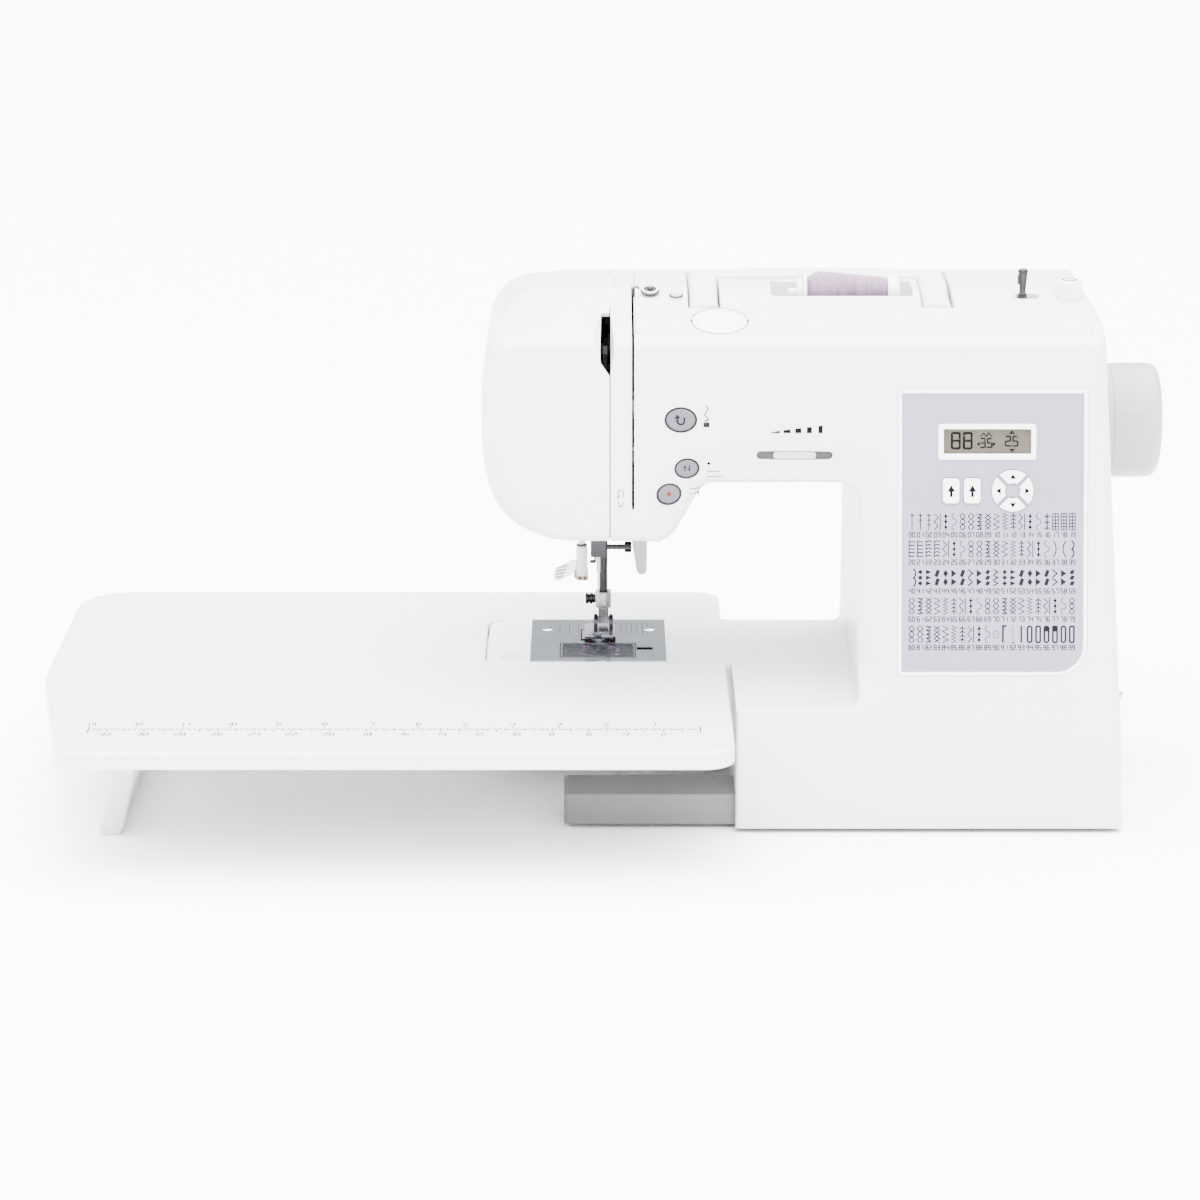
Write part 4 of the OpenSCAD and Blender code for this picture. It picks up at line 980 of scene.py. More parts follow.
def spool():
    """Thread wound on its cone in crossing turns, on a white core."""
    length, r0, r1 = 45.0, 12.0, 8.5
    n, m = 72, 150
    points, faces = [], []
    for j in range(m + 1):
        t = j / m
        x = SPOOL_X + t * length
        if t < 0.17:
            r = (r0 - 4) + 4 * math.sin(t / 0.17 * math.pi / 2)
        else:
            r = r0 + (r1 - r0) * (t - 0.17) / 0.83
        if t > 0.985:
            r -= 0.5
        for i in range(n):
            a = 2 * math.pi * i / n
            wave = 0.10 * math.sin(2 * math.pi * (t * 44) + a) + 0.07 * math.sin(2 * math.pi * (t * 9) - 3 * a)
            rr = r + (wave if 0.03 < t < 0.97 else 0) - 0.17
            points.append((x, SPOOL_Y + rr * math.cos(a), SPOOL_Z + rr * math.sin(a)))
    faces += ring_faces(m, n)
    for x, c in ((SPOOL_X, 0), (SPOOL_X + length, m)):
        ring = [(x, SPOOL_Y + 2.8 * math.cos(2 * math.pi * i / n), SPOOL_Z + 2.8 * math.sin(2 * math.pi * i / n))
                for i in range(n)]
        s = len(points)
        points += ring
        faces += [(c * n + i, c * n + (i + 1) % n, s + (i + 1) % n, s + i) for i in range(n)]
    s0, s1 = len(points) - 2 * n, len(points) - n
    faces += [(s0 + i, s0 + (i + 1) % n, s1 + (i + 1) % n, s1 + i) for i in range(n)]
    add("thread_winding", points, faces, "spool", "thread", ["thread_spool"], "thread_violet", 60)
    # holder: pin, flange at the right and cap at the left
    prof = rounded_profile([(0, -1), (2.2, -1), (2.2, 62), (0, 62)], 0.5)
    p1 = lathe([(r, h + SPOOL_X - 10 + 1) for r, h in prof], (0, SPOOL_Y, SPOOL_Z), "x", 40)
    prof = rounded_profile([(0, 0.5), (8.6, 0.5), (9.5, 1.4), (9.5, 5.4), (8.4, 7.4), (0, 7.4)], 0.8)
    p2 = lathe([(r, h + SPOOL_X + 45) for r, h in prof], (0, SPOOL_Y, SPOOL_Z), "x", 56)
    add("spool_holder", *join_parts([p1, p2]), "machine", "key", ["spool_pin"], "shell_white")
    prof = rounded_profile([(2.28, 0.05), (14.2, 0.05), (14.9, 0.7), (14.9, 1.5), (14.2, 2.15), (8.2, 2.6),
                            (7.8, 5.5), (2.28, 5.5)], 0.5)
    p, f = lathe([(r, SPOOL_X - h) for r, h in prof], (0, SPOOL_Y, SPOOL_Z), "x", 56)
    add("spool_cap_disc", p, f, "spool_end", "frost", ["spool_cap"], "shell_white")


def thread_material():
    """Wound thread: fine fibres and slow colour bands round the spool."""
    m, nodes, links = new_material("wound_thread")
    bsdf = nodes["Principled BSDF"]
    where = nodes.new("ShaderNodeTexCoord").outputs["Object"]
    mapping = nodes.new("ShaderNodeMapping")
    mapping.inputs["Scale"].default_value = (1, 0.12, 0.12)
    links.new(where, mapping.inputs["Vector"])
    fibre = noise(nodes, links, mapping.outputs["Vector"], 2600, 3, 0.7)
    band = noise(nodes, links, mapping.outputs["Vector"], 260, 4, 0.6)
    slow = noise(nodes, links, where, 70, 2)
    c = mix_colour(nodes, links, remap(nodes, links, band, 0.35, 0.65, 0, 1), (0.03, 0.010, 0.032), (0.15, 0.075, 0.14))
    c = mix_colour(nodes, links, remap(nodes, links, fibre, 0.35, 0.7, 0, 0.6), c, (0.26, 0.16, 0.26))
    c = mix_colour(nodes, links, remap(nodes, links, slow, 0.4, 0.7, 0, 0.5), c, (0.08, 0.035, 0.075))
    links.new(c, bsdf.inputs["Base Color"])
    b = nodes.new("ShaderNodeBump")
    b.inputs["Strength"].default_value = 0.7
    b.inputs["Distance"].default_value = 0.0003
    links.new(fibre, b.inputs["Height"])
    links.new(b.outputs["Normal"], bsdf.inputs["Normal"])
    bsdf.inputs["Roughness"].default_value = 0.55
    bsdf.inputs["Sheen Weight"].default_value = 0.5
    return m


MAT["thread"] = thread_material()
spool()


def top_fittings():
    z = top_z(WIND_Y)
    # bobbin winder: spindle with its spring, and the stop
    prof = [(0, 0), (2.5, 0), (2.5, 13.6), (1.7, 14), (1.8, 16), (2.6, 25.2), (2.85, 26), (2.75, 26.8), (2.0, 27.5),
            (0, 27.6)]
    p, f = lathe(rounded_profile(prof, 0.2, 2), (WIND_X, WIND_Y, 270), "z", 36)
    blade = cuboid((WIND_X - 3.0, WIND_Y - 0.5, 289), (WIND_X - 1.5, WIND_Y + 0.5, 294))
    add("winder_pin", *join_parts([(p, f), blade]), "winder", "chrome_dark", ["winder_spindle"], "dark_plastic")
    prof = rounded_profile([(0, -4), (7.2, -4), (7.2, 7.8), (6.6, 9.0), (3.0, 9.4), (0, 9.4)], 0.7)
    p, f = lathe(prof, (WIND_X + 26, WIND_Y, z), "z", 56)
    add("winder_stop_knob", p, f, "machine", "key", ["winder_stop"], "shell_white")
    ring = lathe([(3.0, 9.36), (4.4, 9.36), (4.4, 9.5), (3.0, 9.5)], (WIND_X + 26, WIND_Y, z), "z", 40)
    add("winder_stop_ring", *ring, "machine", "ink_soft")


top_fittings()


# ---------------------------------------------------------------- extension table and its leg

def table_line():
    """Outer edge of the table, from its right end round the front to the back."""
    line = [(72, -60)] + arc(55, -60, 17, 0, -90, 10) + arc(-279, -65, 12, -90, -172, 8)
    line += [(-301, -8), (-309, 35), (-313, 62), (-314, 84)] + arc(-282, 207, 32, 180, 90, 14)
    line += arc(58, 225, 14, 90, 0, 8)
    return [(p[0], p[1]) for p in line]


def table():
    front = table_line()
    # one outline that runs round the table and into the cut-out of the free arm
    outline = front + [(72, 178.8)] + arc(-51, 164, 14.8, 90, 180, 8) + arc(-51, 98, 14.8, 180, 270, 8) + [(72, 83.2)]
    outline = resample(outline, 3.0)
    r = np.array([0.9 if (-66.5 < p[0] < 73 and 82.9 < p[1] < 179.2) else (3.4 if p[0] < 70 else 2.4) for p in outline])
    for _ in range(2):
        r = (np.roll(r, 1) + r + np.roll(r, -1)) / 3
    rows = inset_rows(outline, [0.12, 0.3, 0.55, 0.9, 1.3, 1.8, 2.4, 3.1, 3.6, 5.0])
    body = grid(-312, 70, -75, 237, 9, 9)
    d, _ = distance_to(body, outline)
    vs, fs = fill(outline, np.vstack([rows, body[inside(body, outline) & (d > 6)]]))
    d, where = distance_to(vs, outline)
    z = BED - edge_drop(d, r[np.floor(where).astype(int) % len(outline)])
    parts = [(lifted(vs, z), fs)]
    n = len(outline)
    low = BED - 9.4
    steps = [0, 0.45, 1.0]
    pts = [(p[0], p[1], (BED - q) * (1 - t) + low * t) for p, q in zip(outline, r) for t in steps]
    parts.append((pts, [(a * 3 + b, ((a + 1) % n) * 3 + b, ((a + 1) % n) * 3 + b + 1, a * 3 + b + 1)
                        for a in range(n) for b in range(2)]))
    solid_from(sheet("table_top", parts), "table_top", "table", 2.6, "table", ["extension_table"])
    # ribs under the top
    parts = []
    for x in (-176, -106):
        parts.append(cuboid((x, -73, BED - 9.3), (x + 2.2, 235, BED - 2.5)))
    for y in (-30, 30, 200):
        parts.append(cuboid((-285, y, BED - 8.6), (66 if y > 100 or y < 70 else -70, y + 2.0, BED - 2.5)))
    for y in (-8.4, 146.4):
        parts.append(cuboid((-261, y, 55.2), (-251, y + 4, BED - 2.5)))
    bevel(add("table_ribs", *join_parts(parts), "table", "table", slot="table_white"), 0.4)


table()


def leg():
    """Folding leg: a frame with a window, its hinge tube and pin, and two rubber pads."""
    x, z, y0, y1, t, splay = -256.0, 61.0, -4.0, 146.0, 13.0, 15.0
    h = z - 0.5
    outline = [(y0 + 0.2, 0), (y1 - 0.2, 0), (y1 - 0.2, -h), (y0 + 0.2, -h)]
    hole = round_rect(y0 + 13, -h + 13.6, y1 - 13, -11.5, 4)
    outline = resample(outline, 5)
    hole = resample(hole, 3)
    rows = inset_rows(outline, [0.4, 1.0, 1.8])
    g = clear_of(grid(y0 + 3, y1 - 3, -h + 3, -3, 8, 8), [hole], 1)
    vs, fs = fill(outline, np.vstack([clear_of(rows, [hole], 1), g]), [hole])
    d1, _ = distance_to(vs, outline)
    d2, _ = distance_to(vs, hole)
    r = 1.8
    drop = edge_drop(np.minimum(d1, d2), r)
    parts = []
    for s in (-1, 1):
        pts = [(x - splay * (-v[1] / h) + s * (t / 2 - q * 0.8), v[0], z + v[1]) for v, q in zip(vs, drop)]
        parts.append((pts, fs))
    for loop in (outline, hole):
        pts = [(x - splay * (-v[1] / h) + s * (t / 2 - r * 0.8), v[0], z + v[1]) for s in (-1, 1) for v in loop]
        parts.append((pts, ring_faces(1, len(loop))))
    p1 = join_parts(parts)
    p2 = lathe(rounded_profile([(0, y0), (4.4, y0), (4.4, y1), (0, y1)], 0.5), (x, 0, z), "y", 32)
    pin = [(0, y0 - 4.2), (2.45, y0 - 4.2), (2.45, y1 + 4.2), (0, y1 + 4.2)]
    p3 = lathe(rounded_profile(pin, 0.4), (x, 0, z), "y", 24)
    pad = cuboid((x - splay - t / 2 + 1, y0 + 6, 0.05), (x - splay + t / 2 - 1, y0 + 24, 0.9))
    pad2 = cuboid((x - splay - t / 2 + 1, y1 - 24, 0.05), (x - splay + t / 2 - 1, y1 - 6, 0.9))
    add("table_leg_frame", *join_parts([p1, p2, p3]), "leg", "table", ["table_leg"], "table_white")
    add("table_leg_pads", *join_parts([pad, pad2]), "leg", "rubber", slot="rubber")


leg()


def free_arm():
    """Upper part of the free arm: rounded end, flat top with the plate let in, hollow inside."""
    z0, z1 = 22.0, 72.0
    outline = [(75, 84)] + arc(-51, 98, 14, -90, -180, 12) + arc(-51, 164, 14, 180, 90, 12) + [(75, 178)]
    outline = resample(outline[::-1], 3)
    hole = [tuple(p) for p in resample([(-40.1, 88.9), (38.1, 88.9), (38.1, 175.9), (-40.1, 175.9)], 3)]
    rows = inset_rows(outline, [0.2, 0.5, 0.9, 1.4, 2.0, 3.0])
    rows = clear_of(rows, [hole], 0.4)
    g = clear_of(grid(-62, 73, 86, 176, 8, 8), [hole], 2)
    d, _ = distance_to(g, outline)
    vs, fs = fill(outline, np.vstack([rows, g[inside(g, outline) & (d > 3.5)]]), [hole])
    d, _ = distance_to(vs, outline)
    z = z1 - edge_drop(d, np.where(vs[:, 0] > 70, 0.01, 1.8))
    parts = [(lifted(vs, z), fs)]
    n = len(outline)
    ro = np.where(outline[:, 0] > 70, 0.01, 1.8)
    pts = lifted(outline, z1 - ro) + lifted(outline, z0 + 2)
    pts += lifted(inset_loop(outline, 0.6), z0 + 0.6) + lifted(inset_loop(outline, 2), z0)
    keep = [i for i in range(n) if not (outline[i][0] > 74.9 and outline[(i + 1) % n][0] > 74.9)]
    parts.append((pts, ring_faces(3, n, keep)))
    v2, f2 = fill(inset_loop(outline, 2))
    parts.append((lifted(v2, z0), f2))
    # the seat of the stitch plate
    lip = lifted(hole, z1) + lifted(hole, z1 - 1.7)
    lip += lifted(inset_loop(hole, 1.9), z1 - 1.7) + lifted(inset_loop(hole, 1.9), z1 - 9)
    parts.append((lip, ring_faces(3, len(hole))))
    mesh = sheet("free_arm_shell", parts, lambda f: f.calc_center_median().z > 0.0719)
    solid_from(mesh, "free_arm_shell", "machine", 1.2, "shell", ["free_arm_cover"])


free_arm()


# ---------------------------------------------------------------- printed marks and symbols

class Print:
    """Flat marks laid on a surface. place(u, v) gives the point, in millimetres, of a mark."""

    def __init__(self, place, tall=0.04):
        self.place, self.tall, self.parts = place, tall, []

    def polygon(self, pts):
        n = len(pts)
        area = sum(pts[i][0] * pts[(i + 1) % n][1] - pts[(i + 1) % n][0] * pts[i][1] for i in range(n))
        if area < 0:
            pts = pts[::-1]
        top = [self.place(u, v, self.tall) for u, v in pts]
        low = [self.place(u, v, -0.05) for u, v in pts]
        faces = [tuple(range(n)), tuple(range(2 * n - 1, n - 1, -1))]
        faces += [(i, i + n, (i + 1) % n + n, (i + 1) % n) for i in range(n)]
        self.parts.append((top + low, faces))

    def line(self, pts, w, closed=False):
        """A stroke of width w along a polyline, as joined quads."""
        pts = [np.array(p, float) for p in pts]
        if closed:
            pts = pts + [pts[0]]
        m = len(pts)
        left, right = [], []
        for i in range(m):
            if closed:
                a, b = pts[i - 1 if i else m - 2], pts[(i + 1) % (m - 1)]
            else:
                a, b = pts[max(i - 1, 0)], pts[min(i + 1, m - 1)]
            d1 = pts[i] - a if np.any(pts[i] != a) else b - pts[i]
            d2 = b - pts[i] if np.any(pts[i] != b) else pts[i] - a
            d1, d2 = d1 / max(np.linalg.norm(d1), 1e-9), d2 / max(np.linalg.norm(d2), 1e-9)
            t = d1 + d2
            t = t / max(np.linalg.norm(t), 1e-9)
            k = 1 / max(abs(np.dot(t, d1)), 0.5)
            nrm = np.array([-t[1], t[0]]) * w / 2 * k
            left.append(pts[i] + nrm)
            right.append(pts[i] - nrm)
        for i in range(m - 1):
            self.polygon([tuple(left[i]), tuple(right[i]), tuple(right[i + 1]), tuple(left[i + 1])])

    def arc(self, cx, cy, r, a0, a1, w, n=14, ry=None):
        ry = r if ry is None else ry
        angles = [math.radians(a0 + (a1 - a0) * i / n) for i in range(n + 1)]
        self.line([(cx + r * math.cos(a), cy + ry * math.sin(a)) for a in angles], w)

    def digits(self, text, x, y, h, w):
        """Numbers made of strokes, centred on x."""
        seg = {"a": ((0, 1), (1, 1)), "b": ((1, 1), (1, .5)), "c": ((1, .5), (1, 0)), "d": ((0, 0), (1, 0)),
               "e": ((0, 0), (0, .5)), "f": ((0, .5), (0, 1)), "g": ((0, .5), (1, .5))}
        shape = {"0": "abcdef", "1": "bc", "2": "abged", "3": "abgcd", "4": "fgbc", "5": "afgcd", "6": "afgedc",
                 "7": "abc", "8": "abcdefg", "9": "abfgcd"}
        wide = h * 0.5
        step = h * 0.78
        x0 = x - (len(text) * step - (step - wide)) / 2
        for i, ch in enumerate(text):
            for s in shape.get(ch, ""):
                (a, b), (c, d) = seg[s]
                self.line([(x0 + i * step + a * wide, y + b * h), (x0 + i * step + c * wide, y + d * h)], w)

    def make(self, name, body, material):
        points, faces = join_parts(self.parts)
        return add(name, points, faces, body, material, tidy=False, angle=20)


def panel_place(u, v, up):
    """On the panel's film: u right, v up the face from the panel's centre."""
    return on_face(PANEL_X, PANEL_Z, 0.2 - up, v, u)


def control_panel():
    # film with openings for the display and keys; the moulded white frame round it
    holes = [round_rect(-27.4, 42.9, 21.4, 57.1, 1.0)]
    for x in (-22.9, -11.3):
        holes.append(round_rect(x - 4.95, 15.75, x + 4.95, 30.25, 2.0))
    for k in range(4):
        holes.append(sector(90 * k, 0.35))
    outline = resample(panel_outline(-2.3, 14), 4)
    rows = inset_rows(outline, [0.4, 1.0])
    g = grid(-50, 50, -77, 77, 7, 7)
    d, _ = distance_to(g, outline)
    pts = clear_of(np.vstack([rows, g[inside(g, outline) & (d > 2)]]), holes, 0.8)
    vs, fs = fill(outline, pts, holes)
    top = [panel_place(u, v, 0) for u, v in vs]
    low = [panel_place(u, v, -2.2) for u, v in vs]
    n = len(vs)
    faces = fs + [tuple(i + n for i in f[::-1]) for f in fs]
    parts = [(top + low, faces)]
    for loop in [outline] + [np.array(h) for h in holes]:
        pts = [panel_place(u, v, h) for h in (0, -2.2) for u, v in loop]
        parts.append((pts, ring_faces(1, len(loop))))
    add("panel_film", *join_parts(parts), "machine", "panel", ["control_panel"], "panel_lavender")
    # white rim round the film, standing just proud of it
    prof = [(-0.05, -2.2), (-0.05, 0.15), (-0.3, 0.5), (-0.8, 0.68), (-1.4, 0.68), (-2.0, 0.45), (-2.26, 0.05),
            (-2.26, -2.2)]
    rings = [(np.array(inset_loop(np.array(panel_outline(0, 14)), -g)), h) for g, h in prof]
    m = len(rings[0][0])
    pts = [panel_place(u, v, h) for ring, h in rings for u, v in ring]
    add("panel_rim", pts, ring_faces(len(rings), m, closed=True), "machine", "key", slot="shell_white")


def sector(a, grow):
    """Outline of one arrow key: a quarter of a ring."""
    ro, ri, gap = 11.4 + grow, 4.2 - grow, 0.9 - grow
    outer = [(ro * math.cos(t), ro * math.sin(t)) for t in np.linspace(-math.pi / 4, math.pi / 4, 13)]
    inner = [(ri * math.cos(t), ri * math.sin(t)) for t in np.linspace(math.pi / 4, -math.pi / 4, 7)]
    pts = []
    for x, y in outer + inner:
        # keep the key's straight sides a set gap from the diagonals
        s = 1 if y >= 0 else -1
        over = abs(y) - (x - gap * 1.414)
        if over > 0:
            x, y = x + over / 2, y - s * over / 2
        pts.append((x, y))
    t = math.radians(a)
    return [(10.8 + x * math.cos(t) - y * math.sin(t), 23 + x * math.sin(t) + y * math.cos(t)) for x, y in pts]


def dished(name, outline, base, proud, r, body, material, nodes, slot, crown=0.0, place=panel_place):
    """A key cap with a soft edge and a slightly crowned or dished top."""
    outline = np.array(resample(outline, 0.8))
    rows = inset_rows(outline, [r * 0.15, r * 0.4, r * 0.7, r, r * 1.5])
    c = outline.mean(0)
    size = np.abs(outline - c).max()
    g = grid(c[0] - size, c[0] + size, c[1] - size, c[1] + size, 1.4, 1.4)
    d, _ = distance_to(g, outline)
    vs, fs = fill(outline, np.vstack([rows, g[inside(g, outline) & (d > r * 1.6)]]))
    d, _ = distance_to(vs, outline)
    z = proud - edge_drop(d, r) + crown * smooth(d / max(size * 0.7, 0.1))
    top = [place(u, v, h) for (u, v), h in zip(vs, z)]
    low = [place(u, v, base) for u, v in vs]
    side = [place(u, v, h) for h in (proud - r, base) for u, v in outline]
    p, f = join_parts([(top, fs), (low, [f[::-1] for f in fs]),
                       (side, ring_faces(1, len(outline)))])
    add(name, p, f, body, material, nodes, slot, 40)


control_panel()
for x, n in ((-22.9, "tens"), (-11.3, "units")):
    dished("key_cap_" + n, round_rect(x - 4.6, 16.1, x + 4.6, 29.9, 1.8), -2.0, 1.5, 0.7, n + "_press", "key",
           ["key_" + n], "key_white", -0.15)
    pr = Print(lambda u, v, up, x=x: panel_place(u, v, 1.42 + up), 0.06)
    pr.polygon([(x - 0.75, 19.6), (x + 0.75, 19.6), (x + 0.75, 22.6), (x - 0.75, 22.6)])
    pr.polygon([(x - 2.1, 22.6), (x + 2.1, 22.6), (x, 26.2)])
    pr.make("arrow_mark_" + n, n + "_press", "ink")
for k, n in enumerate(("right", "up", "left", "down")):
    dished("key_cap_" + n, sector(90 * k, 0.0), -2.0, 1.5, 0.7, n + "_press", "key", ["key_" + n], "key_white")
    t = math.radians(90 * k)
    tri = [(6.6, -1.7), (9.3, 0), (6.6, 1.7)]
    pr = Print(lambda u, v, up: panel_place(u, v, 1.5 + up), 0.08)
    pr.polygon([(10.8 + x * math.cos(t) - y * math.sin(t), 23 + x * math.sin(t) + y * math.cos(t)) for x, y in tri])
    pr.make("arrow_mark_" + n, n + "_press", "ink")


def display():
    # white frame, window and the cell behind it
    outer = np.array(round_rect(-30.0, 40.0, 23.6, 59.6, 1.8))
    inner = np.array(round_rect(-27.0, 43.25, 21.0, 56.75, 0.5))
    rings = [(outer, 0.0), (outer, 0.35), (inset_loop(outer, 0.3), 0.62), (inset_loop(outer, 2.2), 0.62),
             (inner, 0.1), (inner, -2.0)]
    pts = [panel_place(u, v, h) for ring, h in rings for u, v in ring]
    add("display_frame", pts, ring_faces(5, len(outer)), "machine", "key", slot="shell_white")
    cell = prism(round_rect(-27.1, 43.2, 21.1, 56.8, 0.4), -2.2, -1.5, panel_place)
    add("display_cell", *cell, "machine", "lcd", ["display_module", "control_board"], "lcd_cell")
    window = prism(round_rect(-26.95, 43.3, 20.95, 56.7, 0.4), -0.35, 0.0, panel_place)
    add("display_glass", *window, "machine", "window", ["display_window"], "lcd_window")
    seg = Print(lambda u, v, up: panel_place(u, v, -1.5 + up), 0.2)
    seg.digits("88", -17.0, 46.2, 8.4, 1.15)
    seg.digits("35", -3.6, 46.8, 4.8, 0.75)
    seg.polygon([(-4.0, 46.6), (-3.3, 46.6), (-3.3, 47.2), (-4.0, 47.2)])
    seg.polygon([(-8.9, 48.6), (-7.2, 47.4), (-7.2, 49.8)])
    seg.polygon([(1.7, 48.6), (0.0, 47.4), (0.0, 49.8)])
    seg.line([(-6.6, 52.7), (-5.0, 54.6), (-3.6, 52.7), (-2.2, 54.6), (-0.8, 52.7)], 0.6)
    seg.digits("25", 10.3, 47.6, 5.2, 0.8)
    seg.polygon([(9.9, 47.4), (10.6, 47.4), (10.6, 48.0), (9.9, 48.0)])
    seg.polygon([(8.8, 54.2), (12.2, 54.2), (10.5, 56.0)])
    seg.polygon([(8.8, 45.9), (12.2, 45.9), (10.5, 44.2)])
    seg.make("display_segments", "machine", "ink")


display()


STITCH_W, STITCH_G = 0.52, 1.55     # stroke of a stitch drawing and half of its width


def zigzag(pr, x, t, b, n, half, start=1):
    pr.line([(x + half * (start if i % 2 else -start), t + (b - t) * i / n) for i in range(n + 1)], STITCH_W)


def satin_stitch(pr, kind, x, t, b):
    """Filled shapes, one below the other, from t down to b."""
    g, m = STITCH_G, 2 if kind % 3 else 3
    for j in range(m):
        y1, y0 = t - (t - b) * j / m - 0.2, t - (t - b) * (j + 1) / m + 0.2
        ym = (y0 + y1) / 2
        if kind < 3:
            pr.polygon([(x - g, y1), (x + g, ym), (x - g, y0)])
        elif kind < 5:
            pr.polygon([(x, y1), (x + g * 0.9, ym), (x, y0), (x - g * 0.9, ym)])
        elif kind < 7:
            pr.line([(x - g, y1), (x + g * 0.6, ym), (x - g, y0)], 0.7)
        else:
            pr.polygon([(x - 0.3, y1), (x + g, y1 - 0.6), (x + g * 0.2, y0), (x - g, y0 + 0.6)])


def buttonhole(pr, c, x, t, b):
    """Eyelet, buttonholes and their guides, in the last columns of the last row."""
    mid = (t + b) / 2
    if c == 10:
        pr.line(oval(x, mid, 1.7, 1.9, 14), 0.36, True)
        pr.line([(x - 0.9, mid), (x + 0.9, mid)], 0.3)
    elif c == 11:
        pr.line([(x - 0.8, b), (x - 0.8, t), (x + 1.2, t)], 1.0)
    elif c == 12:
        pr.line([(x, t), (x, b + 1)], 0.3)
        pr.line([(x - 0.6, b), (x + 0.8, b)], 0.6)
    elif c == 13:
        pr.line([(x, t), (x, b)], 0.9)
    else:
        pr.line(round_rect(x - 1.15, b + 0.2, x + 1.15, t - 0.2, 0.7 if c % 2 else 1.1, 3), 0.95, True)
        if c in (16, 17):
            pr.polygon(oval(x, t - 1.8, 1.4, 1.4, 12))


def utility_stitch(pr, r, c, x, t, b):
    """Straight, ladder, blanket and scallop stitches in the first rows."""
    g, w, h = STITCH_G, STITCH_W, t - b
    if r == 0 and c < 3:
        pr.line([(x, t), (x, b)], w)
        for j in range(1 + c):
            pr.line([(x - g * 0.7, t - 1 - j * 2.6), (x + g * 0.7, t - 1 - j * 2.6)], w)
    elif r == 0 and c == 16:
        pr.line([(x, t), (x, b)], 0.7)
        for j in range(3):
            pr.line([(x - g, t - 1.6 - 3.2 * j), (x + g, t - 1.6 - 3.2 * j)], 0.6)
    elif r == 0:
        for s in (-g, 0, g):
            pr.line([(x + s, t), (x + s, b)], 0.5)
        for j in range(6):
            pr.line([(x - g, t - h * j / 5), (x + g, t - h * j / 5)], 0.5)
    elif r == 1 and c < 4:
        for j in range(5):
            y = t - 0.6 - j * (h - 1.2) / 4
            pr.line([(x - g, y), (x, y + (0.6 if c > 1 else 0)), (x + g, y)], 0.62)
        pr.line([(x - g, t), (x - g, b)], 0.5)
    elif r == 1 and c < 19:
        side, first = (-2.2, -70) if c == 17 else (2.2, 110)
        pr.arc(x + side, (t + b) / 2, 2.6, first, first + 140, 0.6, 12, h / 2)
    else:
        s = 1 if r == 1 else -1
        for j in (0, 1):
            pr.arc(x - s * 0.6, t - h * (0.25 + 0.5 * j), 1.5, -90 * s, 90 * s, 0.75, 8, h / 4)


def plain_stitch(pr, kind, x, t, b):
    """Ten kinds of line stitch, used for the rest of the chart."""
    g, w, h = STITCH_G, STITCH_W, t - b
    thirds = [t - h * (j + 0.5) / 3 for j in range(3)]
    if kind == 0:
        zigzag(pr, x, t, b, 6, g)
    elif kind == 1:
        zigzag(pr, x - 0.6, t, b, 4, g * 0.7)
        pr.line([(x + g, t), (x + g, b)], w)
    elif kind == 2:
        for y in thirds:
            pr.line(oval(x, y, g * 0.8, h / 6.6, 10), w, True)
    elif kind == 3:
        zigzag(pr, x, t, b, 4, g)
        zigzag(pr, x, t, b, 4, g, -1)
    elif kind == 4:
        pr.line([(x, t), (x, b)], w)
        for j in range(4):
            y = t - 0.8 - j * (h - 2) / 3.4
            pr.line([(x - g, y - 1.0), (x, y), (x + g, y - 1.0)], w)
    elif kind == 5:
        for j, y in enumerate(thirds):
            pr.arc(x, y, g * 0.8, 90 + 180 * (j % 2), 270 + 180 * (j % 2), 0.4, 8, h / 6)
    elif kind == 6:
        for j in range(5):
            y = t - 0.4 - j * (h - 0.8) / 4
            pr.line([(x - g, y), (x + g, y)], w)
        zigzag(pr, x, t, b, 8, g * 0.6)
    elif kind == 7:
        zigzag(pr, x, t, b, 10, g * 0.8)
    elif kind == 8:
        for y in thirds:
            pr.polygon([(x, y + 1.1), (x + 1.0, y), (x, y - 1.1), (x - 1.0, y)])
        pr.line([(x, t), (x, b)], w)
    else:
        for s in (-0.9, 0.9):
            zigzag(pr, x + s, t, b, 6, g * 0.42, 1 if s > 0 else -1)


def stitch_chart():
    """Five rows of twenty stitch patterns, each with its number."""
    pr = Print(panel_place, 0.03)
    first_x, pitch, columns = -44.2, 4.62, 20
    rows = [(10.6, 1.6), (-4.3, -13.4), (-19.9, -29.2), (-35.6, -44.6), (-51.0, -60.2)]
    utility = {0: (0, 1, 2, 16, 17, 18, 19), 1: (0, 1, 2, 3, 17, 18, 19), 2: (0,)}
    for r, (t, b) in enumerate(rows):
        for c in range(columns):
            number = r * columns + c
            x = first_x + pitch * c
            kind = (number * 7 + r * 3) % 10
            if c in utility.get(r, ()):
                utility_stitch(pr, r, c, x, t, b)
            elif r == 2:
                satin_stitch(pr, kind, x, t, b)
            elif r == 4 and c >= 10:
                buttonhole(pr, c, x, t, b)
            else:
                plain_stitch(pr, kind, x, t, b)
            pr.digits(f"{number:02d}", x, b - 3.9, 2.5, 0.46)
    pr.make("stitch_chart_print", "machine", "ink_chart")


stitch_chart()


def front_place(x0, z0, lift=0.0):
    """On the machine's own front skin, with its rounding and band, near (x0, z0)."""
    def place(u, v, up):
        x, z = x0 + u, z0 + v * COS
        y = float(front_y(np.array([(x, z)]))[0])
        return (x, y - (up + lift) * COS, z + (up + lift) * math.sin(LEAN_ANGLE))
    return place


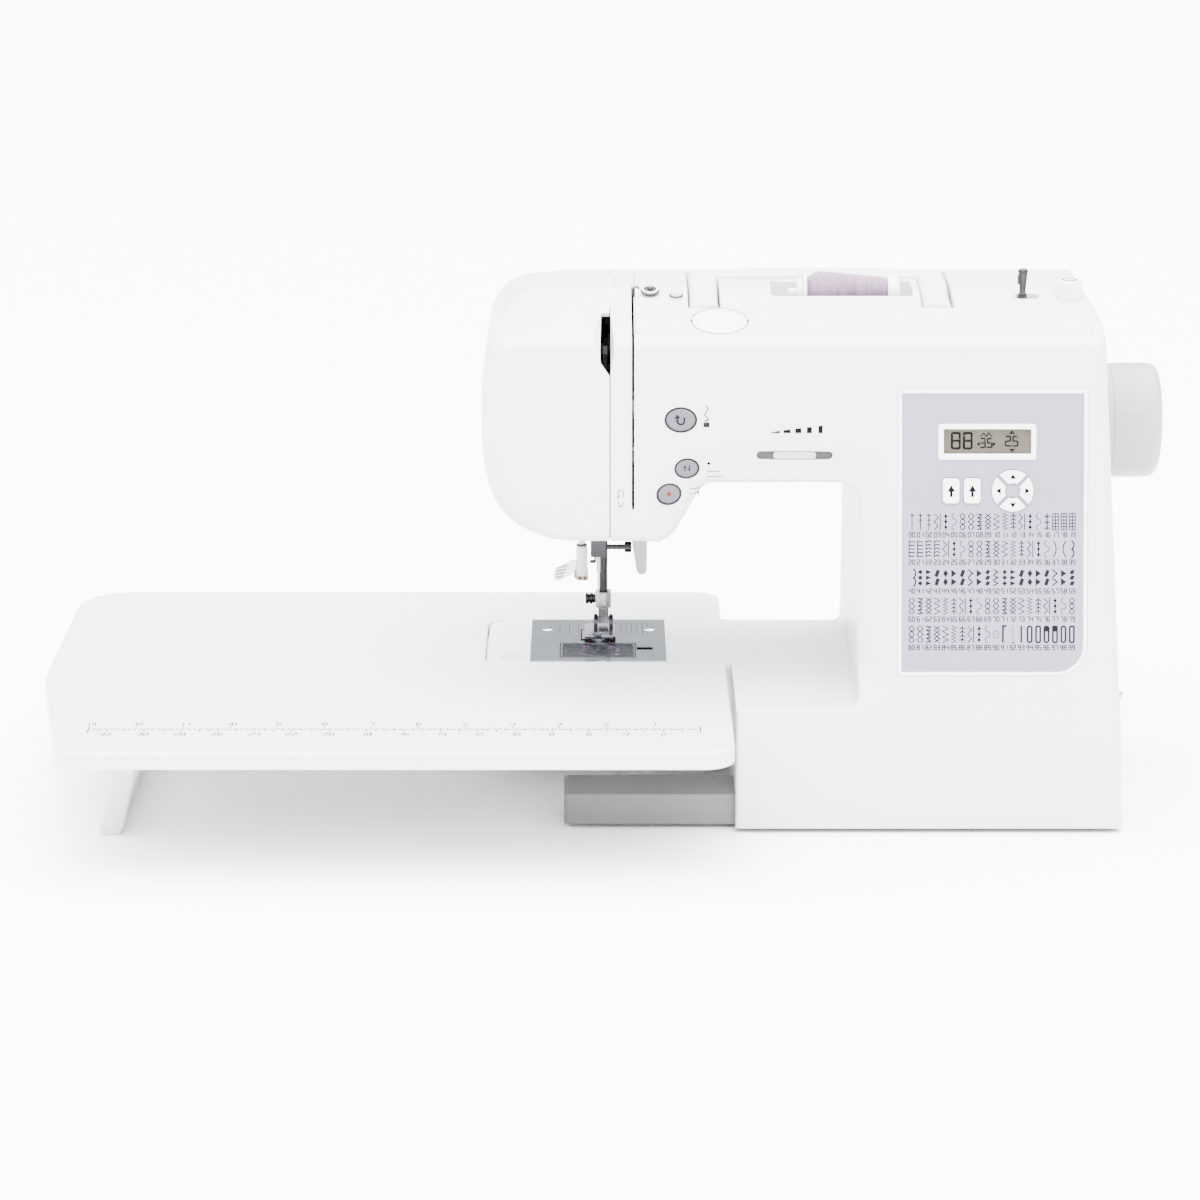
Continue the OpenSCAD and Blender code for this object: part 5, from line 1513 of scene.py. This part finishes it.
def push_buttons():
    for name, (bx, bz, rx, rz) in BUTTONS.items():
        press = name.replace("button", "press")
        place = front_place(bx, bz)
        # a slightly dished oval cap inside a dark rim
        n = 44
        dished(name.replace("button", "cap"), oval(0, 0, rx - 0.3, rz - 0.3, n), -3.0, 0.9, 0.8, press, "button",
               [name], "button_grey", -0.35, place)
        section = ((-0.1, 0.1), (0.85, 0.1), (0.85, -1.0), (-0.1, -1.0))
        pts = [place(u, v, h) for g, h in section for u, v in oval(0, 0, rx + g, rz + g, n)]
        add(name.replace("button", "rim"), pts, ring_faces(4, n, closed=True), "machine", "rim")
        pr = Print(lambda u, v, up, place=place: place(u, v, 0.72 + up), 0.1)
        if name == "reverse_button":
            bow = [(1.9 * math.cos(t), -0.6 + 1.9 * math.sin(t)) for t in np.linspace(math.pi, 2 * math.pi, 12)]
            pr.line([(-1.9, 0.9), (-1.9, -0.6)] + bow + [(1.9, 1.5)], 0.95)
            pr.polygon([(-3.6, 0.8), (-0.2, 0.8), (-1.9, 3.1)])
        elif name == "needle_button":
            pr.polygon([(-1.9, 0.3), (-0.3, 0.3), (-1.1, 1.9)])
            pr.line([(-1.1, 0.3), (-1.1, -1.7)], 0.45)
            pr.polygon([(0.5, -0.2), (2.1, -0.2), (1.3, -1.8)])
            pr.line([(1.3, -0.2), (1.3, 1.8)], 0.45)
        else:
            pr.polygon(oval(0, 0, 0.95, 0.95, 14))
        pr.make(name.replace("button", "mark"), press, "red" if name == "start_button" else "ink_mid")


push_buttons()


def slider():
    place = front_place(SLIDER_X, SLIDER_Z)
    dished("speed_knob", round_rect(-11.7, -2.05, 11.7, 2.05, 1.6), -3.4, 1.1, 0.8, "speed", "panel_light",
           ["speed_slider"], "button_grey", 0.0, place)
    # the dull grey bed of the slot, and a wedge of five bars above it
    bed = prism(round_rect(-20.6, -2.3, 20.6, 2.3, 2.2), -2.6, -1.2, place)
    add("slider_bed", *bed, "machine", "grey2", slot="dark_plastic")
    wedge = Print(front_place(108.5, 220.2), 0.3)
    for i in range(5):
        h = 0.5 + 0.75 * i
        x = -12.3 + 6.1 * i
        w0 = 4.4 - 0.55 * i
        if i == 0:
            wedge.polygon([(x - 4, -1.2), (x + w0 / 2, -1.2), (x + w0 / 2, 0.1)])
        else:
            wedge.polygon([(x - w0 / 2, -1.2), (x + w0 / 2, -1.2),
                           (x + w0 / 2, -0.8 + h + 0.3), (x - w0 / 2, -0.8 + h)])
    wedge.make("speed_marks", "machine", "ink")


slider()


def small_marks():
    # reverse and fastening stitch symbol beside the reverse button
    pr = Print(front_place(58.2, 226.0), 0.04)
    pr.line([(-0.6, 7.9), (1.1, 6.2), (-0.6, 4.5)], 0.6)
    pr.line([(0.4, 4.4), (-1.1, 2.6), (1.1, 0.9), (-0.2, -0.9)], 0.6)
    pr.polygon([(-1.7, -4.0), (1.7, -4.0), (1.7, -1.4), (-1.7, -1.4)])
    pr.line([(-1.0, -1.4), (-1.0, -0.2), (1.0, -0.2), (1.0, -1.4)], 0.4)
    pr.make("reverse_symbol", "machine", "ink_mid")
    # lamp beside the needle button, and plain rules where the button names are
    lamp = lathe([(0, 0.9), (0.5, 0.8), (0.8, 0.4), (0.85, -2), (0, -2)], (0, 0, 0), "z", 20)
    y0 = float(front_y(np.array([(59.6, 202.1)]))[0])
    sin = math.sin(LEAN_ANGLE)
    pts = [(59.6 + u, y0 - up * COS + v * sin, 202.1 + v * COS + up * sin) for u, v, up in lamp[0]]
    add("ready_lamp", pts, lamp[1], "machine", "void")
    for name, x, z, first, lengths in (("needle", 59.5, 198.8, -1.4, (8.6, 10.4)),
                                       ("start", 49.6, 187.8, 0.2, (8.0, 6.4))):
        pr = Print(front_place(x, z), 0.03)
        for row, length in enumerate(lengths):
            v = first - 3.0 * row
            for i in range(int(length / 1.5)):
                pr.line([(i * 1.5 - 0.6, v), (i * 1.5 + 0.35, v)], 0.9)
        pr.make(name + "_rule_marks", "machine", "ink_grey")
    # threading path arrows on the strip between the two slots
    pr = Print(front_place(11.4, 184.0), 0.03)
    pr.line([(1.5 * math.cos(t), 2.6 + 2.2 * math.sin(t)) for t in np.linspace(-0.6, 3.6, 14)], 0.5)
    pr.line([(1.1 * math.cos(t), -2.4 + 1.8 * math.sin(t)) for t in np.linspace(2.5, 6.6, 14)], 0.5)
    pr.polygon([(-2.2, 1.6), (-0.8, 1.6), (-1.5, 0.2)])
    pr.make("thread_path_mark", "machine", "ink_grey")


small_marks()


def ruler():
    """Ruler printed on the table: inches above the line, centimetres below."""
    pr = Print(lambda u, v, up: (u, v, BED + up), 0.03)
    x0, x1, y = -276.0, 54.2, -36.0
    pr.line([(x0, y), (x1, y)], 0.8)
    for s in (-1, 1):
        pr.line([(x0 if s < 0 else x1, y - 6.5), (x0 if s < 0 else x1, y + 6.5)], 0.6)
    for i in range(13 * 8 + 1):
        l = 6.0 if i % 8 == 0 else 4.2 if i % 4 == 0 else 2.4
        pr.line([(x1 - i * 25.4 / 8, y), (x1 - i * 25.4 / 8, y + l)], 0.5)
        if i % 8 == 0 and i:
            pr.digits(str(i // 8), x1 - i * 25.4 / 8, y + 7.4, 4.4, 0.75)
    for i in range(33 * 2 + 1):
        l = 4.6 if i % 2 == 0 else 2.4
        if x1 - i * 5 > x0 - 1:
            pr.line([(x1 - i * 5, y), (x1 - i * 5, y - l)], 0.5)
            if i % 4 == 0 and i:
                pr.digits(str(i // 2), x1 - i * 5, y - 10.8, 4.4, 0.75)
    pr.make("table_ruler_print", "table", "ink_grey")


ruler()


# ---------------------------------------------------------------- handwheel, needle area, base

def centre_of(node):
    """Centre of a CAD node's box, in the design's millimetres."""
    a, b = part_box(node)
    return [(a[i] + b[i]) * 500 - s for i, s in enumerate((SHIFT_X, SHIFT_Y, 0))]


def limits_of(node):
    """Corners of a CAD node's box, in the design's millimetres."""
    a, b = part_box(node)
    return [[p[i] * 1000 - s for i, s in enumerate((SHIFT_X, SHIFT_Y, 0))] for p in (a, b)]


def handwheel():
    (x0, _, _), (x1, _, _) = limits_of("handwheel")
    _, y, z = centre_of("handwheel")
    w = x1 - x0
    r = 32.5
    prof = [(0, w - 7), (29.4, w - 7), (29.6, 0.6), (30.2, 0), (31.6, 0), (32.2, 0.3), (r, 0.9), (r, 4.2),
            (r - 0.1, 4.5), (r - 0.5, 4.7), (r - 0.5, 5.3), (r - 0.1, 5.5), (r, 5.8)]
    prof += arc(r - 6.2, w - 6.2, 6.2, 0, 90, 10)
    prof += [(24.5, w - 0.1), (23.4, w - 0.5), (22.6, w - 1.2), (21.6, w - 1.5), (12, w - 1.5), (0, w - 1.4)]
    points, faces = lathe(prof, (x0, y, z), "x", 96, False)
    # the rim and ribs take a darker material that paints the shade on the wheel
    add("handwheel_rim", points, faces, "main_drive", "wheel", ["handwheel"], "shell_white", 30)
    # shallow finger grooves round the rim
    parts = []
    for k in range(36):
        t = 2 * math.pi * k / 36
        c, s = math.cos(t), math.sin(t)

        def place(u, v, h, c=c, s=s):
            rr = r + h
            return (x0 + v, y + rr * c - u * s, z + rr * s + u * c)
        parts.append(prism(round_rect(-0.45, 9, 0.45, w - 8, 0.44, 4), -0.4, 0.14, place))
    add("handwheel_ribs", *join_parts(parts), "main_drive", "wheel", slot="shell_white")


def screw_head(name, x, y, z, r, body, material="chrome", tall=0.7):
    """A domed screw head facing up, its slot a black bar of painted shade."""
    dome = [(0, tall), (r * 0.45, tall), (r * 0.8, tall * 0.75), (r, tall * 0.15), (r, -0.6), (0, -0.6)]
    add(name, *lathe(dome, (x, y, z), "z", 32, False), body, material)
    a, b = math.cos(0.6), math.sin(0.6)

    def place(u, v, h):
        return (x + u * a - v * b, y + u * b + v * a, z + h)
    p, f = prism([(-r * 0.8, -r * 0.13), (r * 0.8, -r * 0.13), (r * 0.8, r * 0.13), (-r * 0.8, r * 0.13)], tall - 0.25,
                 tall + 0.02, place)
    # the slot: a black bar at the top of the dome, painted shade
    add(name + "_slot", p, f, body, "void")


def needle_area():
    bed = lambda u, v, up: (u, v, BED + up)
    # stitch plate: engraved seam guides, screws and the bright front lip
    (x0, y0, _), (x1, y1, _) = limits_of("needle_plate")
    pr = Print(bed, 0.02)
    for i, x in enumerate((9.0, 12.2, 15.3, 18.5, 21.7, 24.9, 28.0)):
        pr.line([(x, y1 - 30 + 2 * (i % 2)), (x, y1 - 6)], 0.3)
        pr.line([(x, y0 + 26), (x, y0 + 34)], 0.3)
    for x in (-12.5, -18.0, -23.5):
        pr.line([(x, y1 - 28), (x, y1 - 8)], 0.3)
    pr.make("plate_guides", "machine", "ink_mid")
    for i, (x, y) in enumerate(((x0 + 9, y1 - 20), (x1 - 9, y1 - 20))):
        screw_head("plate_screw_%d" % i, x, y, BED, 3.4, "machine")
    p, f = prism(round_rect(x0 + 0.3, y0 + 0.1, x1 - 0.3, y0 + 2.6, 0.8), -0.4, 0.24, bed)
    bevel(add("plate_lip", p, f, "machine", "chrome"), 0.2)
    # frame of the clear cover, and the bobbin thread path marked on it
    (a, b, _), (c, d, _) = limits_of("bobbin_cover")
    pr = Print(bed, 0.03)
    pr.line(round_rect(a + 0.9, b + 0.9, c - 0.9, d - 0.9, 1.2), 0.7, True)
    pr.arc((a + c) / 2, (b + d) / 2, 11.5, 200, 470, 0.35, 30)
    pr.polygon([(a + 31, b + 6.2), (a + 34, b + 8.2), (a + 34, b + 4.6)])
    pr.make("cover_frame_marks", "bobbin_lid", "ink_soft")
    # presser foot: sole with turned-up toes, cross bar and the two cheeks of the ankle
    cx, ny = 2.0, 138.0

    def sole(u, v, h):
        lift = 0.055 * max(0.0, 133.5 - v) ** 2 + 0.03 * max(0.0, v - 152) ** 2
        return (u, v, BED + 1 + h + min(lift, 1.6))
    parts = []
    for lo, hi in ((-9.0, -2.4), (0.6, 9.0)):
        line = [tuple(p) for p in resample(round_rect(lo, 129.2, hi, 136.6, 1.6), 0.8)]
        parts.append(prism(line, 0, 1.7, sole))
    parts.append(prism([tuple(p) for p in resample(round_rect(-9.0, 139.4, 9.0, 156.8, 1.6), 0.8)], 0, 1.7, sole))
    for lo, hi in ((-9.0, -4.6), (2.6, 9.0)):
        parts.append(prism([(lo, 135.5), (hi, 135.5), (hi, 140.5), (lo, 140.5)], 0, 1.65, sole))
    bevel(add("presser_foot_sole", *join_parts(parts), "foot", "foot_metal", ["presser_foot"], "chrome"), 0.25)
    parts = []
    for x in (cx - 5.6, cx + 3.4):
        outline = [(147.4, 74.6), (156.4, 74.6), (156.0, 79.0), (154.4, 81.6), (152, 82.6), (149.6, 81.6),
                   (147.8, 79.4)]
        parts.append(prism(outline, x, x + 2.2, lambda u, v, h: (h, u, v)))
    parts.append(lathe([(0, 0), (1.2, 0), (1.2, 11.6), (0, 11.6)], (cx - 5.8, 152, 80), "x", 24, False))
    bevel(add("presser_foot_ankle", *join_parts(parts), "foot", "chrome_dark"), 0.3)
    marks = Print(lambda u, v, up: (u, v, BED + 2.7 + up), 0.03)
    for u in (-6.8, -4.4, 3.2, 5.6, 7.6):
        marks.line([(u, 133.6), (u, 135.4)], 0.45)
    marks.line([(-7.4, 142.4), (7.4, 142.4)], 0.5)
    marks.line([(-7.4, 146.0), (-2.0, 146.0)], 0.5)
    marks.line([(1.0, 146.0), (7.4, 146.0)], 0.5)
    marks.make("presser_foot_marks", "foot", "ink_grey")
    # bright face of the foot holder
    p, f = prism(round_rect(-2.8, 87.0, 2.7, 95.2, 0.6), 149.2, 153.0, lambda u, v, h: (u + 0.9, h + 2.4, v))
    bevel(add("holder_face", p, f, "presser", "chrome"), 0.3)
    # knurled thumb screw of the foot holder
    (a, b, c), (d, e, g) = limits_of("presser_screw")
    y, z, r = (b + e) / 2, (c + g) / 2, (g - c) / 2
    prof = [(0, 0), (r * 0.85, 0), (r, 0.4), (r, 1.5), (r * 0.8, 1.8), (r * 0.8, 2.3), (r, 2.6), (r, 4.0),
            (r * 0.85, 4.3), (r * 0.8, 4.5), (r * 0.8, d - a), (0, d - a)]
    add("presser_screw_knob", *lathe(prof, (a, y, z), "x", 40, False), "presser", "chrome_dark", ["presser_screw"],
        "chrome")
    parts = []
    for k in range(20):
        t = 2 * math.pi * k / 20
        for lo, hi in ((0.6, 1.4), (2.6, 3.8)):
            def place(u, v, h, t=t):
                rr = r * 0.98 + h
                return (a + v, y + rr * math.cos(t) - u * math.sin(t), z + rr * math.sin(t) + u * math.cos(t))
            parts.append(prism([(-0.16, lo), (0.16, lo), (0.16, hi), (-0.16, hi)], -0.2, 0.14, place))
    add("presser_screw_knurl", *join_parts(parts), "presser", "chrome_dark")
    # thread guide above the needle clamp
    prof = [(0, 0), (0.7, 0.1), (1.0, 0.5), (1.0, 3.0), (0.7, 3.4), (0, 3.5)]
    guide = [lathe(prof, (-6.0, 134.4, 119.2), "x", 20, False), cuboid((-3.4, 133.8, 118.8), (-2.2, 135.0, 123.5))]
    add("needle_thread_guide", *join_parts(guide), "needle_drive", "chrome_dark")


def threader():
    x, y = -10.5, 130.0
    base = 112.0
    prof = [(0, 0), (2.6, 0), (3.2, 0.5), (3.3, 1.2), (3.3, 16.4), (3.0, 17.6), (2.3, 18.4), (2.1, 19.2), (2.0, 20.4),
            (2.0, 80.8), (0, 81)]
    p, f = lathe(prof, (x, y, base), "z", 48, False)
    add("threader_stem", p, f, "threader", "shell2", ["needle_threader"], "shell_white")
    p, f = lathe([(2.1, 0), (3.0, 0.1), (3.15, 0.7), (2.6, 1.4), (2.1, 1.5)], (x, y, base + 17.8), "z", 40, True)
    add("threader_ring", p, f, "threader", "grey2")
    # clear ribbed grip, swept down and outwards
    outline = [(-12.9, 121.2), (-15.5, 121.6), (-19.6, 119.4), (-24.4, 116.6), (-26.8, 114.4), (-27.0, 111.6),
               (-25.4, 109.4), (-22.2, 109.6), (-18.4, 111.8), (-14.8, 113.6), (-12.9, 114.4)]
    p, f = prism(outline, y - 1.2, y + 1.2, lambda u, v, h: (u, h, v))
    bevel(add("threader_grip", p, f, "threader", "ribbed"), 0.4)
    parts = []
    for k in range(4):
        ax, az = -19.4 - 6.4 * 0.15 * k, 118.2 - 2.1 * k
        parts.append(prism(round_rect(-6.0 + 0.8 * k, -0.42, 0.8, 0.42, 0.4, 4), 1.1, 1.75,
                           lambda u, v, h, ax=ax, az=az: (ax + u * 0.97 - v * 0.25, y - h, az + v * 0.97 + u * 0.25)))
    add("threader_grip_ribs", *join_parts(parts), "threader", "ribbed_edge")
    # hook arm at the foot of the stem
    outline = [(-14.6, 115.4), (-10.6, 117.4), (-7.0, 116.4), (-6.8, 109.4), (-12.6, 109.2), (-15.2, 111.2)]
    p, f = prism(outline, y - 1.3, y + 0.6, lambda u, v, h: (u, h, v))
    bevel(add("threader_hook_arm", p, f, "threader", "beige"), 0.35)
    clip = [cuboid((-12.2, y - 1.7, 110.2), (-11.0, y - 1.2, 115.4)),
            cuboid((-9.2, y - 1.7, 109.8), (-8.2, y - 1.2, 113.6))]
    add("threader_hook_clip", *join_parts(clip), "threader", "chrome_dark")


def lifter():
    (_, y0, _), (_, y1, _) = limits_of("lifter_lever")
    x, z = 16.0, 151.0
    outline = [(x - 5, z + 1), (x - 4.6, z - 3), (x + 1.2, z - 12), (x + 2.4, z - 24), (x + 5.4, z - 44),
               (x + 7.0, z - 46), (x + 10.2, z - 46), (x + 11.4, z - 44), (x + 11.6, z - 20), (x + 9.4, z - 9),
               (x + 5, z + 1), (x + 3.6, z + 3.6), (x, z + 5), (x - 3.6, z + 3.6)]
    p, f = prism([tuple(q) for q in resample(outline, 1.5)], y0, y0 + 6, lambda u, v, h: (u, h, v))
    # the paddle's darker shell colour is painted shade
    bevel(add("lifter_paddle", p, f, "lifter", "shell_painted_shade", ["lifter_lever"], "shell_white"), 1.1, 3)
    p, f = lathe([(0, 0), (2, 0), (2, y1 - y0 - 5.5), (0, y1 - y0 - 5.5)], (x, y0 + 5.5, z), "y", 32, False)
    add("lifter_pivot", p, f, "lifter", "steel")


def guides():
    def lathe_on(x, y, prof, name, material, n=40, nodes=()):
        p, f = lathe(prof, (0, 0, 0), "z", n, False)
        add(name, [on_slope(x, y, q[2], q[0], q[1]) for q in p], f, "machine", material, nodes, "chrome")
    lathe_on(28, 104, [(0, 3.9), (1.3, 3.8), (1.6, 3.3), (1.6, 2.9), (3.4, 2.7), (5.1, 2.1), (5.4, 1.8), (5.3, 1.5),
                       (3.4, 0.9), (2.2, 0.5), (2.2, -1), (0, -1)], "guide_disc", "chrome_dark", 48, ["thread_guides"])
    lathe_on(28, 104, [(3.6, 2.75), (4.6, 2.42), (4.7, 2.6), (3.6, 2.95)], "guide_disc_ring", "shell2")
    lathe_on(42.5, 100, [(0, 4.0), (2.2, 3.95), (2.9, 3.6), (3.2, 2.9), (3.4, 1.8), (3.9, 0.9), (4.2, 0.2), (4.2, -0.8),
                         (0, -0.8)], "guide_knob", "shell2", 40)
    lathe_on(42.5, 100, [(3.4, 1.9), (3.62, 1.9), (4.0, 1.1), (3.8, 1.0)], "guide_knob_ring", "grey2")
    # wire hook of the first thread guide
    path = [(-1.0, 0, -1.0), (-1.0, 0, 3.0), (-0.9, 0, 5.0), (-0.3, 0, 6.0), (0.7, 0, 6.3), (1.5, 0, 5.8),
            (1.7, 0, 4.9)]
    tube("guide_hook", [on_slope(19.8, 100, c, a, b) for a, b, c in path], 0.55, "machine", "chrome_dark")


def tube(name, path, r, body, material, n=10):
    """A round wire along a path."""
    pts = [Vector(p) for p in path]
    ring, faces = [], []
    for i, p in enumerate(pts):
        t = (pts[min(i + 1, len(pts) - 1)] - pts[max(i - 1, 0)]).normalized()
        side = t.cross(Vector((0.05, 0.999, 0.02))).normalized()
        up = side.cross(t)
        for k in range(n):
            a = 2 * math.pi * k / n
            ring.append(tuple(p + side * (r * math.cos(a)) + up * (r * math.sin(a))))
    for i in range(len(pts) - 1):
        for k in range(n):
            faces.append((i * n + k, i * n + (k + 1) % n, (i + 1) * n + (k + 1) % n, (i + 1) * n + k))
    faces += [tuple(range(n))[::-1], tuple(range((len(pts) - 1) * n, len(pts) * n))]
    return add(name, ring, faces, body, material)


def free_arm_marks():
    """Oval thread-cutting diagram printed left of the stitch plate, and black sheets of painted shade in the joint and
    slot.
    """
    pr = Print(lambda u, v, up: (u, v, BED + up), 0.03)
    cx, cy = -50.5, 99.0
    pr.line(oval(cx, cy, 5.4, 5.2, 32), 0.3, True)
    pr.line(oval(cx + 0.6, cy, 1.6, 2.2, 16), 0.28, True)
    pr.line([(cx - 4.6, cy - 1), (cx - 1.4, cy - 0.6)], 0.28)
    pr.line([(cx + 2.4, cy + 0.8), (cx + 4.6, cy + 1.8)], 0.28)
    pr.line([(cx - 8.0, cy - 5.0), (cx - 5.4, cy - 2.6), (cx - 6.6, cy - 0.6)], 0.28)
    pr.make("free_arm_diagram", "machine", "ink_grey")
    # black sheets behind the joint of the face cover and the threading slot: painted shade in the gaps
    def strip(name, x0, x1, zs, deep):
        pts, faces = [], []
        for z in zs:
            for y in (deep, deep + 1.0):
                for x in (x0, x1):
                    pts.append((x, float(front_y(np.array([(x, z)]))[0]) + y, z))
        n = len(zs)
        for i in range(n - 1):
            a, b = 4 * i, 4 * i + 4
            faces += [(a, a + 1, b + 1, b), (a + 3, a + 2, b + 2, b + 3), (a + 2, a, b, b + 2),
                      (a + 1, a + 3, b + 3, b + 1)]
        faces += [(1, 0, 2, 3), (4 * n - 4, 4 * n - 3, 4 * n - 1, 4 * n - 2)]
        add(name, pts, faces, "machine", "void")
    strip("face_joint_painted_shade", 5.0, 8.0, list(np.linspace(161.5, 248, 30)), 3.0)
    strip("thread_slot_painted_shade", 16.6, 19.6, list(np.linspace(179, 203, 12)), 3.0)
    # dial opening: painted shadow along the edges of its recess
    pr = Print(lambda u, v, up: on_slope(66, 71, up, u, v), 0.05)
    pr.arc(0, 0, 15.9, 196, 344, 0.45, 40)
    pr.arc(0, 0, 15.9, 20, 160, 0.3, 40)
    for s in (-1, 1):
        pr.polygon([(s * 15.9, -1.2), (s * 13.6, -0.4), (s * 15.9, 1.6), (s * 16.3, 0.2)])
    pr.make("dial_recess_painted_shadow", "machine", "ink_mid")


handwheel()
needle_area()
threader()
lifter()
guides()
free_arm_marks()

# ---------------------------------------------------------------- the CAD nodes that are kept as they are

# node: its material and the width of its worn edge, in millimetres
KEPT = {
    "base_tray": ("grey", 0.8),
    "rubber_feet": ("rubber", 0.6),
    "case_screws": ("steel", 0.2),
    "frame_casting": ("cast", 0),
    "bobbin_case": ("dark", 0.3),
    "drive_motor": ("black", 0.4),
    "drive_belts": ("rubber", 0),
    "needle_plate": ("plate", 0.15),
    "power_inlet": ("dark", 0.3),
    "main_shaft": ("steel", 0),
    "lower_shaft": ("steel", 0),
    "rotary_hook": ("steel", 0.2),
    "motor_pulley": ("black", 0),
    "bobbin": ("pink", 0.3),
    "needle_bar": ("chrome_dark", 0.4),
    "needle_bar_link": ("cast", 0.3),
    "needle_clamp_screw": ("chrome_dark", 0.2),
    "needle": ("chrome", 0),
    "take_up_lever": ("lever", 0.3),
    "presser_bar": ("chrome_dark", 0.2),
    "foot_holder": ("steel", 0.4),
    "feed_dog": ("steel", 0.1),
    "power_switch": ("dark", 0.5),
    "bobbin_cover": ("clear", 0.3),
    "cover_release": ("void", 0.2),
    "winder_slider": ("shell2", 0.4),
}
for node, obj in NODES.items():
    kind, width = KEPT.get(node, ("shell2", 0))
    obj.data.materials.clear()
    obj.data.materials.append(MAT[kind])
    if node in KEPT:
        shade(obj.data, 32)
        if width:
            bevel(obj, width, 2, 40)


# ---------------------------------------------------------------- floor, light and camera

def floor():
    size = 45.0
    mesh = bpy.data.meshes.new("floor")
    mesh.from_pydata([(-size, -size, 0), (size, -size, 0), (size, size, 0), (-size, size, 0)], [], [(0, 1, 2, 3)])
    obj = bpy.data.objects.new("floor", mesh)
    bpy.context.scene.collection.objects.link(obj)
    mesh.materials.append(surface("floor_paper", (0.95, 0.95, 0.95), 0.9, 0.004, 0.03, 60, 0.0, specular=0.0))


floor()


def area_light(name, place, target, size, power):
    data = bpy.data.lights.new(name, "AREA")
    data.shape = "RECTANGLE"
    data.size, data.size_y = size
    data.energy = power
    obj = bpy.data.objects.new(name, data)
    bpy.context.scene.collection.objects.link(obj)
    obj.location = place
    obj.rotation_euler = (Vector(target) - Vector(place)).to_track_quat("-Z", "Y").to_euler()


area_light("key", (-0.6, -0.9, 2.2), (0, 0, 0.1), (2.4, 1.6), 70)
area_light("front", (0.5, -2.6, 1.5), (0, 0, 0.15), (2.0, 1.4), 60)
area_light("left", (-2.2, -0.3, 1.1), (0, 0, 0.15), (1.2, 1.4), 20)
world = bpy.data.worlds.new("studio")
bpy.context.scene.world = world
world.use_nodes = True
# a soft sky that is brightest overhead
sky, sky_links = world.node_tree.nodes, world.node_tree.links
height = sky.new("ShaderNodeSeparateXYZ")
sky_links.new(sky.new("ShaderNodeTexCoord").outputs["Generated"], height.inputs[0])
rise = sky.new("ShaderNodeMath")
rise.operation, rise.use_clamp, rise.inputs[1].default_value = "MULTIPLY", True, 1.0
sky_links.new(height.outputs["Z"], rise.inputs[0])
power = sky.new("ShaderNodeMath")
power.operation, power.inputs[1].default_value = "POWER", 3.0
sky_links.new(rise.outputs[0], power.inputs[0])
glow = sky.new("ShaderNodeMath")
glow.operation = "MULTIPLY_ADD"
glow.inputs[1].default_value, glow.inputs[2].default_value = 25.0, 1.6
sky_links.new(power.outputs[0], glow.inputs[0])
sky_links.new(glow.outputs[0], sky["Background"].inputs["Strength"])
sky["Background"].inputs["Color"].default_value = (1, 1, 1, 1)

cam_data = bpy.data.cameras.new("camera")
cam = bpy.data.objects.new("camera", cam_data)
bpy.context.scene.collection.objects.link(cam)
cam_data.sensor_width = 36
cam_data.lens = 114.69
cam_data.clip_end = 150
cam.location = at_frame((0, -2000, 704))
cam.rotation_euler = (math.radians(90 - 15.9), 0, 0)
bpy.context.scene.camera = cam
